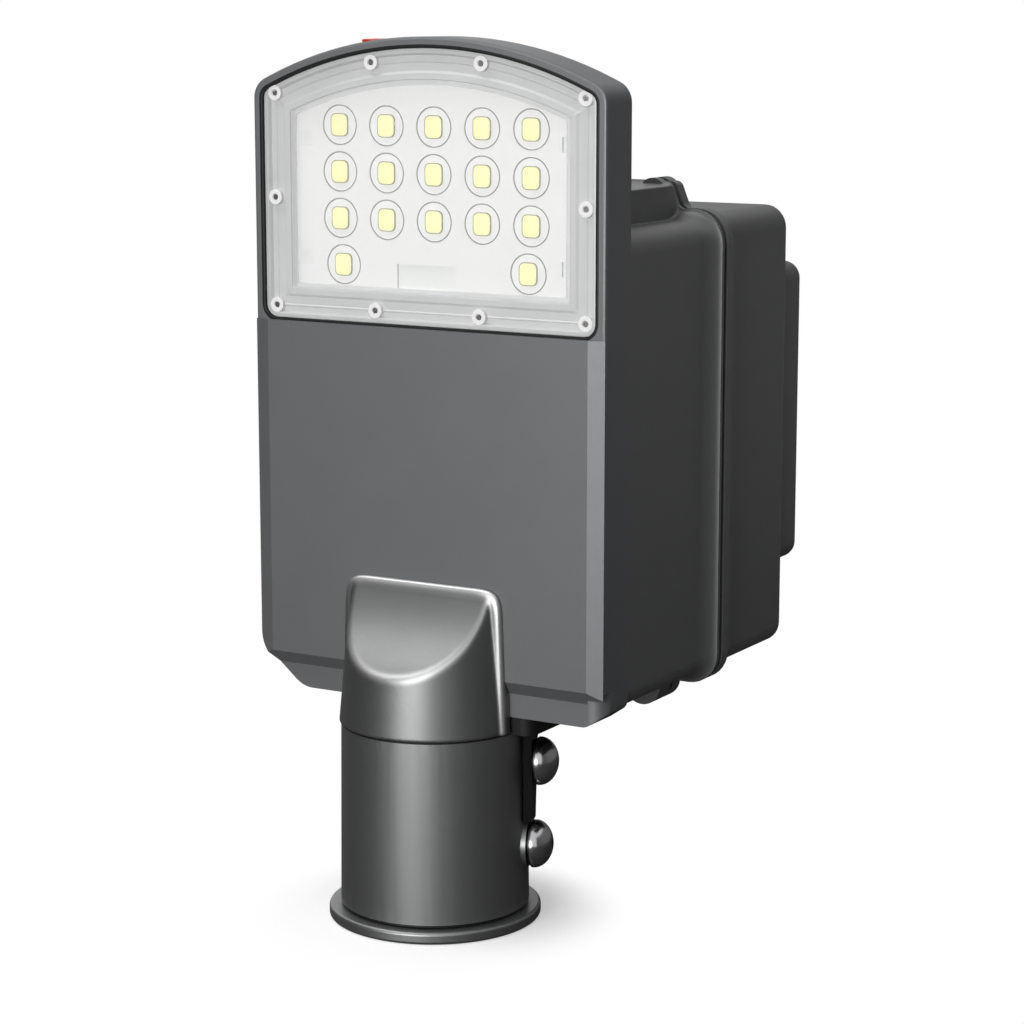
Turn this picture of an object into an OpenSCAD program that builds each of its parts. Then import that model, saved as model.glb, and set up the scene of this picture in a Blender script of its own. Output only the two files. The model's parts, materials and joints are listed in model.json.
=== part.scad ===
// Solar street light: a lamp head on a pole socket, with a battery case behind the head.
// Frame: origin at the centre of the socket's mouth, Z up, the lamp faces -Y, millimetres.

/* [Pole socket] */
// Radius of the bore that takes a 60.3 mm pole
pole_bore_r = 30.5; // [30.2:0.1:31]
// Wall of the socket at its foot
socket_wall = 5.5; // [4.5:0.5:7.5]
// How much narrower the socket is at its top
socket_draft = 0.7; // [0:0.1:1]
// Height of the socket from its mouth to the bracket
socket_h = 75.2; // [70:1:85]
// Thickness of the plate that stops the pole
stop_plate_t = 8; // [7.5:0.5:10]
// How far the ring at the socket's mouth stands out of the socket
ring_out = 4.5; // [3:0.5:8]
// Height of the mouth ring
ring_h = 4.6; // [3:0.2:7]
// Height of the rubber bead between ring and socket
bead_h = 1.4; // [1:0.1:2]
// How far the thin foot inside the ring is set back from the socket
spigot_in = 2.5; // [2:0.25:3]

/* [Clamp screws] */
// Angle of the clamp screws behind the right-hand side
clamp_angle = 20; // [0:1:24]
// Height of the lower clamp screw
clamp_z = 29; // [24:1:32]
// Distance from one clamp screw to the other
clamp_pitch = 32.5; // [26:0.5:34]
// Radius of a clamp screw's shank
clamp_shank_r = 4; // [3:0.5:5]
// Radius of a clamp screw's domed head
clamp_head_r = 9.2; // [8:0.1:10]
// Height of a clamp screw's domed head
clamp_head_h = 8; // [7:0.2:9]
// Thickness of the collar under the dome
clamp_collar_h = 0.8; // [0.6:0.2:2.4]
// Width across flats of the hexagon socket in the head
clamp_hex = 5; // [4:0.5:6]
// Thickness of the captive washer
washer_t = 0.8; // [0.8:0.1:1.6]
// Free travel between washer and seat, half a turn of the thread and a tenth
clamp_travel = 0.73; // [0.73:0.01:1]
// How far the lower screw's round boss stands out from the socket
boss_out = 0.6; // [0.5:0.1:1.5]

/* [Bracket and neck] */
// Height of the bracket under the lamp head
saddle_h = 7; // [6:0.5:9]
// Width of the bracket under the lamp head
saddle_w = 88; // [80:1:100]
// How far the bracket reaches behind the pole's axis
saddle_back = 48; // [42:1:60]
// How far the bracket's tongue under the upper screw stands out from the socket
tongue_out = 2.6; // [2:0.1:4]
// Width of the bracket's tongue
tongue_w = 15; // [12:1:18]
// How much narrower the neck is at its top
neck_draft = 5; // [3:0.5:7]
// Height of the neck's top edge over the lamp's lower edge
neck_rise = 48.4; // [40:0.2:60]
// Height of the scooped lip over the lamp's lower edge
scoop_rise = 16.8; // [12:0.2:24]
// Radius of the hollow of the scoop
scoop_r = 70; // [60:1:120]
// Radius of the neck's two top corners
neck_corner_r = 7; // [4:0.5:9]
// How far the raised edge round the neck stands out of the panel
neck_edge_t = 2.6; // [2:0.1:3.5]
// Height of the raised edge over the scoop
neck_edge_h = 3.2; // [2.4:0.1:5]
// How far the raised edge reaches out of the neck at its top
neck_edge_out = 2.9; // [2:0.1:4]
// Wall of the neck
neck_wall = 3.5; // [3:0.5:4.5]

/* [Lamp head] */
// Width of the lamp head
head_w = 151; // [146:1:160]
// Height of the lamp head from its lower edge to the top of its arch
head_h = 248.8; // [240:1:270]
// Radius of the arched top
arch_r = 167; // [150:1:200]
// Radius of the two upper corners
head_corner_r = 8; // [5:0.5:12]
// Depth of the lamp head
head_d = 20.6; // [20:0.2:24]
// How far the front panel lies ahead of the pole's axis
panel_ahead = 7; // [6:0.5:9]
// How far the rim lies behind the front panel
rim_step = 1.6; // [1:0.2:2]
// How far the band under the panel lies behind it
foot_step = 3; // [2:0.5:4]
// Height of the band under the panel, with its slope
foot_h = 13.8; // [12:0.2:18]
// Height of the slope at the panel's lower edge
slope_h = 4.8; // [3:0.2:7]
// Width of the slanted strip beside the panel
strip_w = 6.2; // [4:0.2:8]
// Width of the cut lower left corner
cut_left_w = 18.3; // [14:1:22]
// Height of the cut lower left corner
cut_left_h = 15.2; // [12:1:18]
// Width of the cut lower right corner
cut_right_w = 8; // [6:0.5:10]
// Height of the cut lower right corner
cut_right_h = 5.5; // [4:0.5:7]
// Radius of the band's upright edge on the right
band_edge_r = 7; // [5:0.5:9]
// Wall of the lamp head
head_wall = 3; // [2.5:0.5:3.5]
// Thickness of a cooling fin
fin_t = 2; // [1.6:0.2:2.6]
// Distance from one cooling fin to the next
fin_pitch = 8; // [7:0.5:12]
// How far the cooling fins stand behind the lamp head
fin_out = 10; // [6:1:12]

/* [Lens and light source] */
// Height from the lens's lower edge to the top of the arch
lens_h = 105.3; // [103:0.5:112]
// Distance from the lamp's outline to the lens
lens_inset = 4.1; // [3.5:0.1:5]
// How far the lens lies behind the panel
lens_step = 2.6; // [2.2:0.2:3.4]
// Thickness of the lens plate
lens_t = 2.2; // [1.8:0.2:2.6]
// Width of the black gap round the lens
lens_gap = 0.9; // [0.6:0.1:1.2]
// Thickness of the gasket under the lens
gasket_t = 0.8; // [0.6:0.1:1.2]
// Width of the ledge that carries the lens
ledge_w = 9; // [8:0.5:10]
// Depth of the well behind the lens
well_d = 5.6; // [5:0.2:7]
// Radius of the small lens over a light-emitting diode
dome_r = 7.3; // [6:0.1:8]
// Height of the small lens over the reflector
dome_h = 3.3; // [2.8:0.1:3.4]
// Distance between light-emitting diodes across
led_pitch_x = 20.6; // [17:0.2:21]
// Distance between rows of light-emitting diodes
led_pitch_z = 17.3; // [16:0.1:18]
// Distance from the top of the arch to the first row
led_drop = 32.7; // [30:1:36]
// Distance kept between the last row and the lens's lower edge
led_foot = 20.7; // [17:0.5:24]
// Width of a light-emitting diode
led_w = 6.6; // [5:0.2:7]
// Height of a light-emitting diode
led_l = 7.6; // [5:0.2:8]
// How far a light-emitting diode stands out of its board
led_out = 3.1; // [1.6:0.1:3.2]
// Thickness of the circuit boards
board_t = 1.6; // [1:0.2:2]
// Thickness of the white reflector sheet
reflector_t = 1; // [0.6:0.2:1.4]
// Distance from the lens's edge to the reflector
reflector_in = 12; // [10:0.5:13]
// Size of the notches in the reflector's sides
notch = 5.5; // [4:0.5:6]
// Distance from the lens's lower edge to the lower notches
notch_low = 23; // [20:1:30]
// Distance from the lower notches to the upper ones
notch_pitch = 44.5; // [30:0.5:50]
// Radius of a lens screw's head
lens_screw_head_r = 2.9; // [2.4:0.1:3.4]
// Distance from a lens screw to the edge of the lens
lens_screw_in = 4.6; // [4.4:0.1:5.2]

/* [Battery case] */
// Depth of the case's front half
front_half_d = 68.4; // [64:1:76]
// Depth of the case's rear half
rear_half_d = 65; // [58:1:72]
// Height of the case's underside over the lamp's lower edge
case_rise = 3.3; // [2:0.1:5]
// Height of the case
case_h = 176.5; // [172:1:184]
// Radius of the case's lower edges
case_low_r = 8; // [5:0.5:12]
// Radius of the case's upper edges
case_top_r = 9; // [5:0.5:12]
// Wall of the case
case_wall = 3; // [2.5:0.5:3.5]
// How far the rim flares out of the case
rim_out = 4; // [3:0.5:5]
// Depth of the flare in front of the rim
flare_d = 11; // [8:0.5:14]
// Thickness of the rear half's flange
flange_t = 5.6; // [5:0.2:7]
// Thickness of the seal between the halves
case_seal_t = 3; // [2:0.5:4]
// How far the seal is set back from the rim's edge
case_seal_in = 2; // [1:0.5:2.5]
// Width of the raised block on the case
block_w = 120; // [112:1:124]
// Height of the raised block over the case
block_h = 13; // [11:0.5:16]
// Distance from the middle to an ear screw
ear_x = 50.5; // [46:0.5:51]
// Radius of an upper ear
ear_top_r = 5.5; // [5:0.5:6]
// Radius of a lower ear
ear_low_r = 8; // [6:0.5:9]
// Radius of an ear screw's shank
ear_screw_r = 2; // [1.5:0.25:2.5]
// How much higher the rear half is than the front half
rear_up = 2; // [0:0.5:3]
// Radius of the rounded rear edges
back_edge_r = 5; // [3:0.5:6]

/* [Controller cover] */
// Width of the raised cover on the back
cover_w = 146; // [130:1:147]
// Height of the raised cover on the back
cover_h = 123; // [110:1:130]
// Depth of the raised cover
cover_d = 18; // [12:0.5:20]
// Height of the cover's lower edge over the case's underside
cover_rise = 31.5; // [20:1:36]
// Radius of the cover's corners
cover_corner_r = 7; // [4:0.5:10]
// Wall of the cover
cover_wall = 2.5; // [2:0.5:3]
// Thickness of the seal under the cover
cover_seal_t = 1; // [0.8:0.2:1.6]

/* [Battery pack] */
// Radius of a battery cell
cell_r = 16; // [15:0.5:16.2]
// Length of a battery cell
cell_l = 70.5; // [65:0.5:72]
// Distance from one cell to the next
cell_pitch = 34; // [33.5:0.1:34.5]
// Thickness of a cell holder
holder_t = 10; // [8:1:12]
// Thickness of the end web of a cell holder
holder_web = 2; // [1.5:0.5:3]
// Thickness of the nickel strips
strip_t = 0.3; // [0.2:0.1:0.5]
// Width of the nickel strips
nickel_w = 7; // [5:0.5:9]

/* [Push button] */
// Distance of the push button left of the middle
button_x = 27; // [24:1:34]
// Radius of the button's cap at its top
button_r = 6.2; // [5.5:0.1:6.6]
// How far the cap stands over the arch at its axis
button_out = 1.1; // [0.8:0.1:2]
// Travel of the button
button_travel = 1.5; // [1:0.1:2]
// Radius of the button's plunger
plunger_r = 2; // [1.5:0.1:2.4]

/* [Cable inlet] */
// Radius of the bore for the solar panel's cable
inlet_bore_r = 3.25; // [2.5:0.25:4]
// Radius of the inlet's thread
inlet_thread_r = 6; // [5.5:0.5:7]
// Height of the inlet's cap
inlet_cap_h = 11; // [8:1:14]
// Distance of the inlet left of the middle
inlet_x = 12; // [0:1:30]

/* [Hidden] */

$fn = 64;
// Radial gap of a part that turns or slides in a bore
running_gap = 0.05;
// Gap round a screw in a plain hole
hole_gap = 0.25;
// Gap between moulded pieces that lie in each other
fit_gap = 0.3;
// Overlap of joined solids and overrun of cuts
eps = 0.01;
over = 1;
arc_steps = 8;

// Heights and depths that several pieces share
head_z = socket_h + saddle_h;
head_top = head_z + head_h;
panel_y = -panel_ahead;
rim_y = panel_y + rim_step;
foot_y = panel_y + foot_step;
head_back = panel_y + head_d;
panel_z = head_z + foot_h;
lens_z = head_top - lens_h;
lens_y = panel_y + lens_step;
ledge_y = lens_y + lens_t + gasket_t;
well_y = ledge_y + well_d;
well_back = well_y + head_wall;
panel_back = panel_y + head_wall;
half_w = head_w / 2;

socket_r = pole_bore_r + socket_wall;
spigot_r = socket_r - spigot_in;
ring_r = socket_r + ring_out;
neck_r = socket_r;

case_z = head_z + case_rise;
case_top = case_z + case_h;
case_front = head_back;
seal_front = case_front + front_half_d;
seal_back = seal_front + case_seal_t;
case_back = seal_back + rear_half_d;
block_top = case_top + block_h;
ear_top_z = block_top - 3;
ear_low_z = case_z - rim_out - 1.5;
cover_z = case_z + cover_rise;
cover_y = case_back + cover_seal_t;
cover_back = case_back + cover_d;

clamp_heights = [clamp_z, clamp_z + clamp_pitch];
boss_r = socket_r + boss_out;
tongue_r = socket_r + tongue_out;
tongue_gap = 0.35;
washer_r = clamp_head_r - 0.6;

// Points and outlines

function unit(v) = v / norm(v);

// The rounded corner at b between its neighbours a and c
function corner(a, b, c, r) =
    let (
        u = unit(a - b),
        v = unit(c - b),
        half = acos(u * v) / 2,
        m = b + unit(u + v) * r / sin(half),
        s = b + u * r / tan(half) - m,
        e = b + v * r / tan(half) - m,
        a0 = atan2(s.y, s.x),
        turn = (atan2(e.y, e.x) - a0 + 900) % 360 - 180
    )
    [for (i = [0 : arc_steps]) m + r * [cos(a0 + turn * i / arc_steps), sin(a0 + turn * i / arc_steps)]];

function arc(m, r, a0, a1, n) =
    [for (i = [0 : n]) m + r * [cos(a0 + (a1 - a0) * i / n), sin(a0 + (a1 - a0) * i / n)]];

// The arched top at an inset d from the lamp's outline, from right to left
function arch_pts(d) =
    let (
        m = [0, head_top - arch_r],
        r = arch_r - d,
        rc = max(head_corner_r - d, 1),
        x = half_w - d - rc,
        z = m.y + sqrt(pow(r - rc, 2) - x * x),
        a = atan2(z - m.y, x)
    )
    concat(
        arc([x, z], rc, 0, a, arc_steps),
        arc(m, r, a + 1, 179 - a, 24),
        arc([-x, z], rc, 180 - a, 180, arc_steps)
    );

// Height and foot of a cut lower corner at an inset d
function cut_z(w, h, d) = head_z + h + d * (1 - sin(atan2(h, w))) / cos(atan2(h, w));
function cut_x(w, h, d) = half_w - w - d * (1 - cos(atan2(h, w))) / sin(atan2(h, w));

// The lamp's outline at an inset d
function head_pts(d) =
    let (
        x = half_w - d,
        z = head_z + d,
        l1 = [-x, cut_z(cut_left_w, cut_left_h, d)],
        l2 = [-cut_x(cut_left_w, cut_left_h, d), z],
        r2 = [cut_x(cut_right_w, cut_right_h, d), z],
        r1 = [x, cut_z(cut_right_w, cut_right_h, d)]
    )
    concat(
        arch_pts(d),
        corner(l1 + [0, 40], l1, l2, 12 - d),
        corner(l1, l2, r2, 12 - d),
        corner(l2, r2, r1, 5 - d),
        corner(r2, r1, r1 + [0, 40], 4 - d)
    );

// The lens's outline, grown by d
function lens_pts(d) =
    let (x = half_w - lens_inset + d, z = lens_z - d, r = max(5 + d, 1))
    concat(
        arch_pts(lens_inset - d),
        corner([-x, z + 40], [-x, z], [0, z], r),
        corner([0, z], [x, z], [x, z + 40], r)
    );

// A rounded rectangle from corner to corner, with its lower and upper radius
function box_pts(x0, x1, z0, z1, low_r, top_r) =
    concat(
        corner([x1, z0], [x1, z1], [x0, z1], top_r),
        corner([x1, z1], [x0, z1], [x0, z0], top_r),
        corner([x0, z1], [x0, z0], [x1, z0], low_r),
        corner([x0, z0], [x1, z0], [x1, z1], low_r)
    );

// A rounded box with a raised block on top; slant widens the block's foot
function block_pts(w, z0, z1, low_r, top_r, bw, bz, slant, bend_r) =
    let (
        x = w / 2,
        b = bw / 2,
        p = [[x, z0], [x, z1], [b + slant, z1], [b, bz], [-b, bz], [-b - slant, z1], [-x, z1], [-x, z0]],
        r = [low_r, top_r, bend_r, bend_r, bend_r, bend_r, top_r, low_r]
    )
    [for (i = [0 : 7]) each corner(p[(i + 7) % 8], p[i], p[(i + 1) % 8], r[i])];

// The case's section and its rim, point by point in step
function case_pts() =
    block_pts(head_w, case_z, case_top, case_low_r, case_top_r, block_w, block_top, 0.2, 0.6);
function rim_pts(d) =
    block_pts(head_w + 2 * (rim_out - d), case_z - rim_out + d, case_top + rim_out - d, case_low_r + rim_out - d,
        case_top_r + rim_out - d, block_w - 6 - 2 * d, block_top + 1 - d, 4, 3);

function mix(a, b, t) = [for (i = [0 : len(a) - 1]) a[i] * (1 - t) + b[i] * t];
function ring_at(pts, y) = [for (p = pts) [p.x, y, p.y]];

// A solid through rings of equal count, one behind the other
module skin(rings) {
    n = len(rings[0]);
    last = len(rings) - 1;
    polyhedron(
        points = [for (r = rings) each r],
        faces = concat(
            [[for (i = [n - 1 : -1 : 0]) i]],
            [for (k = [0 : last - 1], i = [0 : n - 1])
                [k * n + i, k * n + (i + 1) % n, (k + 1) * n + (i + 1) % n]],
            [for (k = [0 : last - 1], i = [0 : n - 1])
                [k * n + i, (k + 1) * n + (i + 1) % n, (k + 1) * n + i]],
            [[for (i = [0 : n - 1]) last * n + i]]
        ),
        convexity = 4
    );
}

// An outline in X and Z, extruded from y0 back to y1
module slab(pts, y0, y1) {
    translate([0, y1, 0])
        rotate([90, 0, 0])
            linear_extrude(y1 - y0)
                polygon(pts);
}

// A block between two corners
module block(a, b) {
    translate(a)
        cube(b - a);
}

// A rod from y0 back to y1
module rod_y(x, z, r, y0, y1) {
    translate([x, y1, z])
        rotate([90, 0, 0])
            cylinder(r = r, h = y1 - y0);
}

// A pan-head screw along Y: its head starts at y and its shank points along dir
module screw_y(x, z, y, dir, shank_r, shank_l, head_r, head_h) {
    translate([x, y, z])
        rotate([-90 * dir, 0, 0])
            rotate_extrude()
                polygon(concat(
                    [[0, -head_h], [head_r * 0.55, -head_h]],
                    arc([head_r - head_h * 0.6, -head_h * 0.4], head_h * 0.6, -90, 0, arc_steps),
                    [[head_r, 0], [shank_r, 0], [shank_r, shank_l], [0, shank_l]]
                ));
}

// Turns a piece modelled on X to the clamp screws' axis at height z
module on_clamp_axis(z) {
    rotate([0, 0, clamp_angle])
        translate([0, 0, z])
            rotate([0, 90, 0])
                children();
}

// Places of repeated pieces

lens_side_x = half_w - lens_inset - lens_screw_in;
lens_arch_x = 23.5;
lens_arch_z = head_top - lens_inset - lens_screw_in - arch_r + sqrt(arch_r * arch_r - lens_arch_x * lens_arch_x);
lens_screw_places = [for (s = [-1, 1]) each [
    [s * lens_side_x, lens_z + lens_screw_in],
    [s * lens_side_x, lens_z + 45.3],
    [s * (lens_side_x - 0.3), head_top - 21.7],
    [s * lens_arch_x, lens_arch_z],
    [s * 22.5, lens_z + lens_screw_in]
]];

notch_heights = [lens_z + notch_low, lens_z + notch_low + notch_pitch];
lens_boss_h = 0.6;
led_row_z = head_top - led_drop;
// The last row holds the two outer diodes only
led_last = floor((lens_h - led_drop - led_foot) / led_pitch_z + 0.01);
led_places = [for (row = [0 : led_last], col = [-2 : 2]) if (row < led_last || abs(col) == 2)
    [col * led_pitch_x - (row == led_last ? sign(col) * 1.2 : 0), led_row_z - row * led_pitch_z]];

neck_screw_places = [for (s = [-1, 1]) each [[s * 20, head_z + 12], [s * 14, head_z + 26]]];
saddle_screw_places = [for (x = [-34, 0, 34]) [x, case_front + 8.4]];
socket_screw_places = [for (a = [45 : 90 : 315]) (pole_bore_r - 8.5) * [cos(a), sin(a)]];
ear_places = [for (s = [-1, 1]) each [[s * ear_x, ear_top_z], [s * ear_x, ear_low_z]]];
case_mount_in = 9.5;
case_mount_places = [for (s = [-1, 1], z = [case_z + 12, case_top - 45]) [s * (half_w - case_mount_in), z]];
cover_screw_in = 8;
cover_boss_r = cover_screw_in - cover_wall + 0.5;
cover_screw_places = [for (sx = [-1, 1], sz = [0, 1])
    [sx * (cover_w / 2 - cover_screw_in), cover_z + cover_screw_in + sz * (cover_h - 2 * cover_screw_in)]];
cell_low_z = case_z + case_wall + 2 + cell_pitch / 2;
cell_places = [for (i = [0 : 3], k = [0 : 3]) [(i - 1.5) * cell_pitch, cell_low_z + k * cell_pitch]];
pack_w = 4 * cell_pitch + 4;
pack_z0 = case_z + case_wall;
pack_z1 = pack_z0 + 4 * cell_pitch + 4;
pack_front = case_front + case_wall + 12;
pack_back = pack_front + cell_l + 2 * holder_web;

// Lamp head

// Front of the lamp under the lens, seen from the side
function front_profile(back) = [
    [back, head_z - over], [foot_y, head_z - over], [foot_y, panel_z - slope_h],
    [panel_y, panel_z], [panel_y, head_top], [back, head_top]
];

module panel_front() {
    strip_x = half_w - strip_w;
    intersection() {
        slab(head_pts(0), panel_y - over, head_back);
        rotate([90, 0, 90])
            translate([0, 0, -half_w - over])
                linear_extrude(head_w + 2 * over)
                    polygon(front_profile(foot_y + over));
        translate([0, 0, head_z - over])
            linear_extrude(lens_z - lens_gap - head_z + over)
                polygon([[-half_w, foot_y + over], [-half_w, rim_y], [-strip_x, panel_y],
                    [strip_x, panel_y], [half_w, rim_y], [half_w, foot_y + over]]);
    }
}

// Three nested insets round the rim's front edge
module head_body() {
    skin([
        ring_at(head_pts(1.2), foot_y),
        ring_at(head_pts(0.35), foot_y + 0.35),
        ring_at(head_pts(0), foot_y + 1.2),
        ring_at(head_pts(0), head_back)
    ]);
}

module head_rim() {
    intersection() {
        skin([
            ring_at(head_pts(1), rim_y),
            ring_at(head_pts(0.3), rim_y + 0.3),
            ring_at(head_pts(0), rim_y + 1),
            ring_at(head_pts(0), head_back)
        ]);
        block([-half_w - over, rim_y, lens_z - lens_gap - 2], [half_w + over, head_back, head_top + over]);
    }
}

module fins() {
    count = floor((half_w - 11.5) / fin_pitch);
    intersection() {
        slab(head_pts(5), well_back - eps, head_back + fin_out);
        union()
            for (i = [-count : count])
                block([i * fin_pitch - fin_t / 2, well_back - over, block_top + 1.5],
                    [i * fin_pitch + fin_t / 2, head_back + fin_out, head_top]);
    }
}

// Where the hollow behind the panel grows deeper
hollow_z = panel_z + 4;

module lamp_housing() {
    color("dimgray")
        difference() {
            union() {
                head_body();
                head_rim();
                panel_front();
            }
            band_edge();
            slab(lens_pts(lens_gap), panel_y - over, ledge_y);
            slab(lens_pts(-ledge_w), panel_y, well_y);
            difference() {
                slab(head_pts(head_wall), well_back, head_back + over);
                block([-half_w, well_back - over, lens_z - 3 - head_wall], [half_w, head_back + over, lens_z - 3]);
                fins();
                button_boss();
                for (p = case_mount_places)
                    rod_y(p.x, p.y, case_mount_in - head_wall + 0.5, well_back - over, head_back);
            }
            block([-half_w + 9, panel_back, hollow_z], [half_w - 9, well_back + over, lens_z - 3 - head_wall]);
            block([-half_w + 22, foot_y + head_wall, head_z + 6], [half_w - 22, head_back + over, hollow_z + over]);
            button_bores();
            for (p = lens_screw_places)
                rod_y(p.x, p.y, 1.5 + hole_gap, ledge_y - over, ledge_y + 6);
            for (p = neck_screw_places)
                rod_y(p.x, p.y, 2.5 + hole_gap, panel_y - over, well_back);
            for (p = case_mount_places)
                rod_y(p.x, p.y, 2 + running_gap, well_back + 1, head_back + over);
            rod_y(40, lens_z - 4, 3, panel_back + 4, head_back);
        }
    color("dimgray")
        difference() {
            fins();
            block([-half_w, 0, head_z], [half_w, well_back, head_top]);
            button_bores();
        }
}

// Rounds the upright edge at the right of the band
module band_edge() {
    r = band_edge_r;
    translate([half_w - r, foot_y + r, head_z - over])
        linear_extrude(foot_h + over - 0.4)
            polygon(concat([[r + over, -r - over], [-over, -r - over]], arc([0, 0], r, -90, 0, arc_steps),
                [[r + over, 0]]));
}

module lens_cover() {
    color("gainsboro", 0.5)
        difference() {
            union() {
                slab(lens_pts(0), lens_y, lens_y + lens_t);
                lens_frame();
                intersection() {
                    slab(lens_pts(0), lens_y - over, lens_y + lens_t);
                    for (p = lens_screw_places)
                        rod_y(p.x, p.y, 4, lens_y - lens_boss_h, lens_y + eps);
                }
            }
            for (p = lens_screw_places)
                rod_y(p.x, p.y, 1.5 + hole_gap, lens_y - over, lens_y + lens_t + over);
        }
}

// The raised rib between the clear window and the lens's frame
module lens_frame() {
    difference() {
        slab(lens_pts(-9.5), lens_y - 0.8, lens_y + eps);
        slab(lens_pts(-11.2), lens_y - over, lens_y + over);
    }
}

module lens_gasket() {
    color("black")
        difference() {
            slab(lens_pts(lens_gap - 0.05), lens_y + 0.4, ledge_y);
            slab(lens_pts(0.05), lens_y - over, lens_y + lens_t);
            slab(lens_pts(-2.6), lens_y, ledge_y + over);
            for (p = lens_screw_places)
                rod_y(p.x, p.y, 1.5 + hole_gap, lens_y, ledge_y + over);
        }
}

module lens_screws() {
    color("white")
        for (p = lens_screw_places)
            difference() {
                screw_y(p.x, p.y, lens_y - lens_boss_h, 1, 1.5, ledge_y - lens_y + 5, lens_screw_head_r, 1.7);
                rod_y(p.x, p.y, 1.3, lens_y - lens_boss_h - 3, lens_y - lens_boss_h - 0.9);
            }
}

module reflector() {
    color("white")
        difference() {
            slab(lens_pts(-reflector_in), well_y - board_t - reflector_t, well_y - board_t);
            for (s = [-1, 1], z = notch_heights)
                block([s * (half_w - lens_inset - reflector_in) - notch, panel_y, z - notch / 2],
                    [s * (half_w - lens_inset - reflector_in) + notch, well_y, z + notch / 2]);
            block([-16.2, panel_y, lens_z + 12.7], [9.3, well_y, lens_z + 21.9]);
            for (p = led_places)
                rod_y(p.x, p.y, dome_r + fit_gap, panel_y, well_y);
        }
}

module led_board() {
    color("whitesmoke")
        slab(lens_pts(-ledge_w - 0.5), well_y - board_t, well_y);
}

module leds() {
    color("khaki")
        for (p = led_places)
            slab(box_pts(p.x - led_w / 2, p.x + led_w / 2, p.y - led_l / 2, p.y + led_l / 2, 1.2, 1.2),
                well_y - board_t - led_out, well_y - board_t);
}

// Clear small lenses, each with a pocket for its diode
module led_lenses() {
    foot = well_y - board_t;
    color("white", 0.5)
        for (p = led_places)
            difference() {
                translate([p.x, foot, p.y])
                    rotate([90, 0, 0])
                        rotate_extrude()
                            polygon(concat(
                                [[0, 0], [dome_r, 0]],
                                [for (a = [0 : 15 : 90]) [dome_r * cos(a), reflector_t + dome_h * sin(a)]]
                            ));
                slab(box_pts(p.x - led_w / 2 - 0.15, p.x + led_w / 2 + 0.15,
                    p.y - led_l / 2 - 0.15, p.y + led_l / 2 + 0.15, 1.3, 1.3), foot - led_out - 0.15, foot + over);
            }
}

// Driver in the hollow behind the front panel

driver_w = 84;
driver_h = 52;
driver_z = lens_z - driver_h - 27.7;
driver_places = [for (sx = [-1, 1], sz = [0, 1]) [sx * (driver_w / 2 - 4), driver_z + 4 + sz * (driver_h - 8)]];

module led_driver() {
    color("darkgreen")
        difference() {
            union() {
                block([-driver_w / 2, panel_back + 3, driver_z],
                    [driver_w / 2, panel_back + 3 + board_t, driver_z + driver_h]);
                for (p = driver_places)
                    rod_y(p.x, p.y, 3, panel_back, panel_back + 3 + eps);
            }
            for (p = driver_places)
                rod_y(p.x, p.y, 1.5 + hole_gap, panel_back - over, panel_back + 3 + board_t + over);
        }
}

module driver_parts() {
    y0 = panel_back + 3 + board_t;
    color("gray") {
        block([-30, y0, driver_z + 10], [-14, y0 + 7, driver_z + 26]);
        block([8, y0, driver_z + 30], [34, y0 + 6, driver_z + 38]);
        rod_y(2, driver_z + 16, 4, y0, y0 + 8);
        rod_y(14, driver_z + 14, 4, y0, y0 + 8);
        for (i = [0 : 3])
            block([-30 + 7 * i, y0, driver_z + 34], [-26 + 7 * i, y0 + 1.6, driver_z + 42]);
    }
}

module driver_screws() {
    color("silver")
        for (p = driver_places)
            screw_y(p.x, p.y, panel_back + 3 + board_t, -1, 1.5, 3 + board_t, 2.8, 1.8);
}

// Neck, bracket and pole socket

function neck_radius(z) = neck_r - neck_draft * (z - socket_h) / (head_z + neck_rise - socket_h);

neck_top = head_z + neck_rise;
neck_face = panel_y - neck_edge_t;
neck_z = socket_h + 0.7;
scoop_low = [-neck_radius(head_z + scoop_rise), head_z + scoop_rise];
scoop_high = [neck_face + 0.1, neck_top - neck_edge_h];
scoop_mid = (scoop_low + scoop_high) / 2;
scoop_half = norm(scoop_high - scoop_low) / 2;
scoop_out = unit([-(scoop_high - scoop_low).y, (scoop_high - scoop_low).x]);
scoop_m = scoop_mid + scoop_out * sqrt(scoop_r * scoop_r - scoop_half * scoop_half);

// The raised edge that frames the neck on the panel, at an inset d
function edge_pts(d) =
    let (
        top = neck_radius(neck_top) + neck_edge_out - d,
        low = neck_radius(neck_z) - d,
        z = neck_top - d
    )
    concat(
        corner([low, neck_z], [top, z], [0, z], neck_corner_r - d / 2),
        corner([0, z], [-top, z], [-low, neck_z], neck_corner_r - d / 2),
        [[-low, neck_z], [low, neck_z]]
    );

module neck_edge() {
    r = neck_edge_t - 0.4;
    skin(concat(
        [for (i = [0 : 5])
            let (a = 90 * i / 5)
            ring_at(edge_pts(r * (1 - sin(a))), neck_face + r * (1 - cos(a)))],
        [ring_at(edge_pts(0), over)]
    ));
}

// The neck's outer form, drawn in by t on every side that shows
module neck_form(t) {
    top = neck_top - 1 - t;
    difference() {
        intersection() {
            translate([0, 0, neck_z])
                cylinder(r1 = neck_radius(neck_z) - t, r2 = neck_radius(neck_top) - t, h = neck_top - neck_z);
            block([-neck_r - over, -neck_r - over, neck_z - over], [neck_r + over, 0, top]);
            neck_shoulders(top, t);
        }
        translate([-neck_r - over, scoop_m.x, scoop_m.y])
            rotate([0, 90, 0])
                cylinder(r = scoop_r + t, h = 2 * (neck_r + over), $fn = 128);
    }
}

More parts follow.
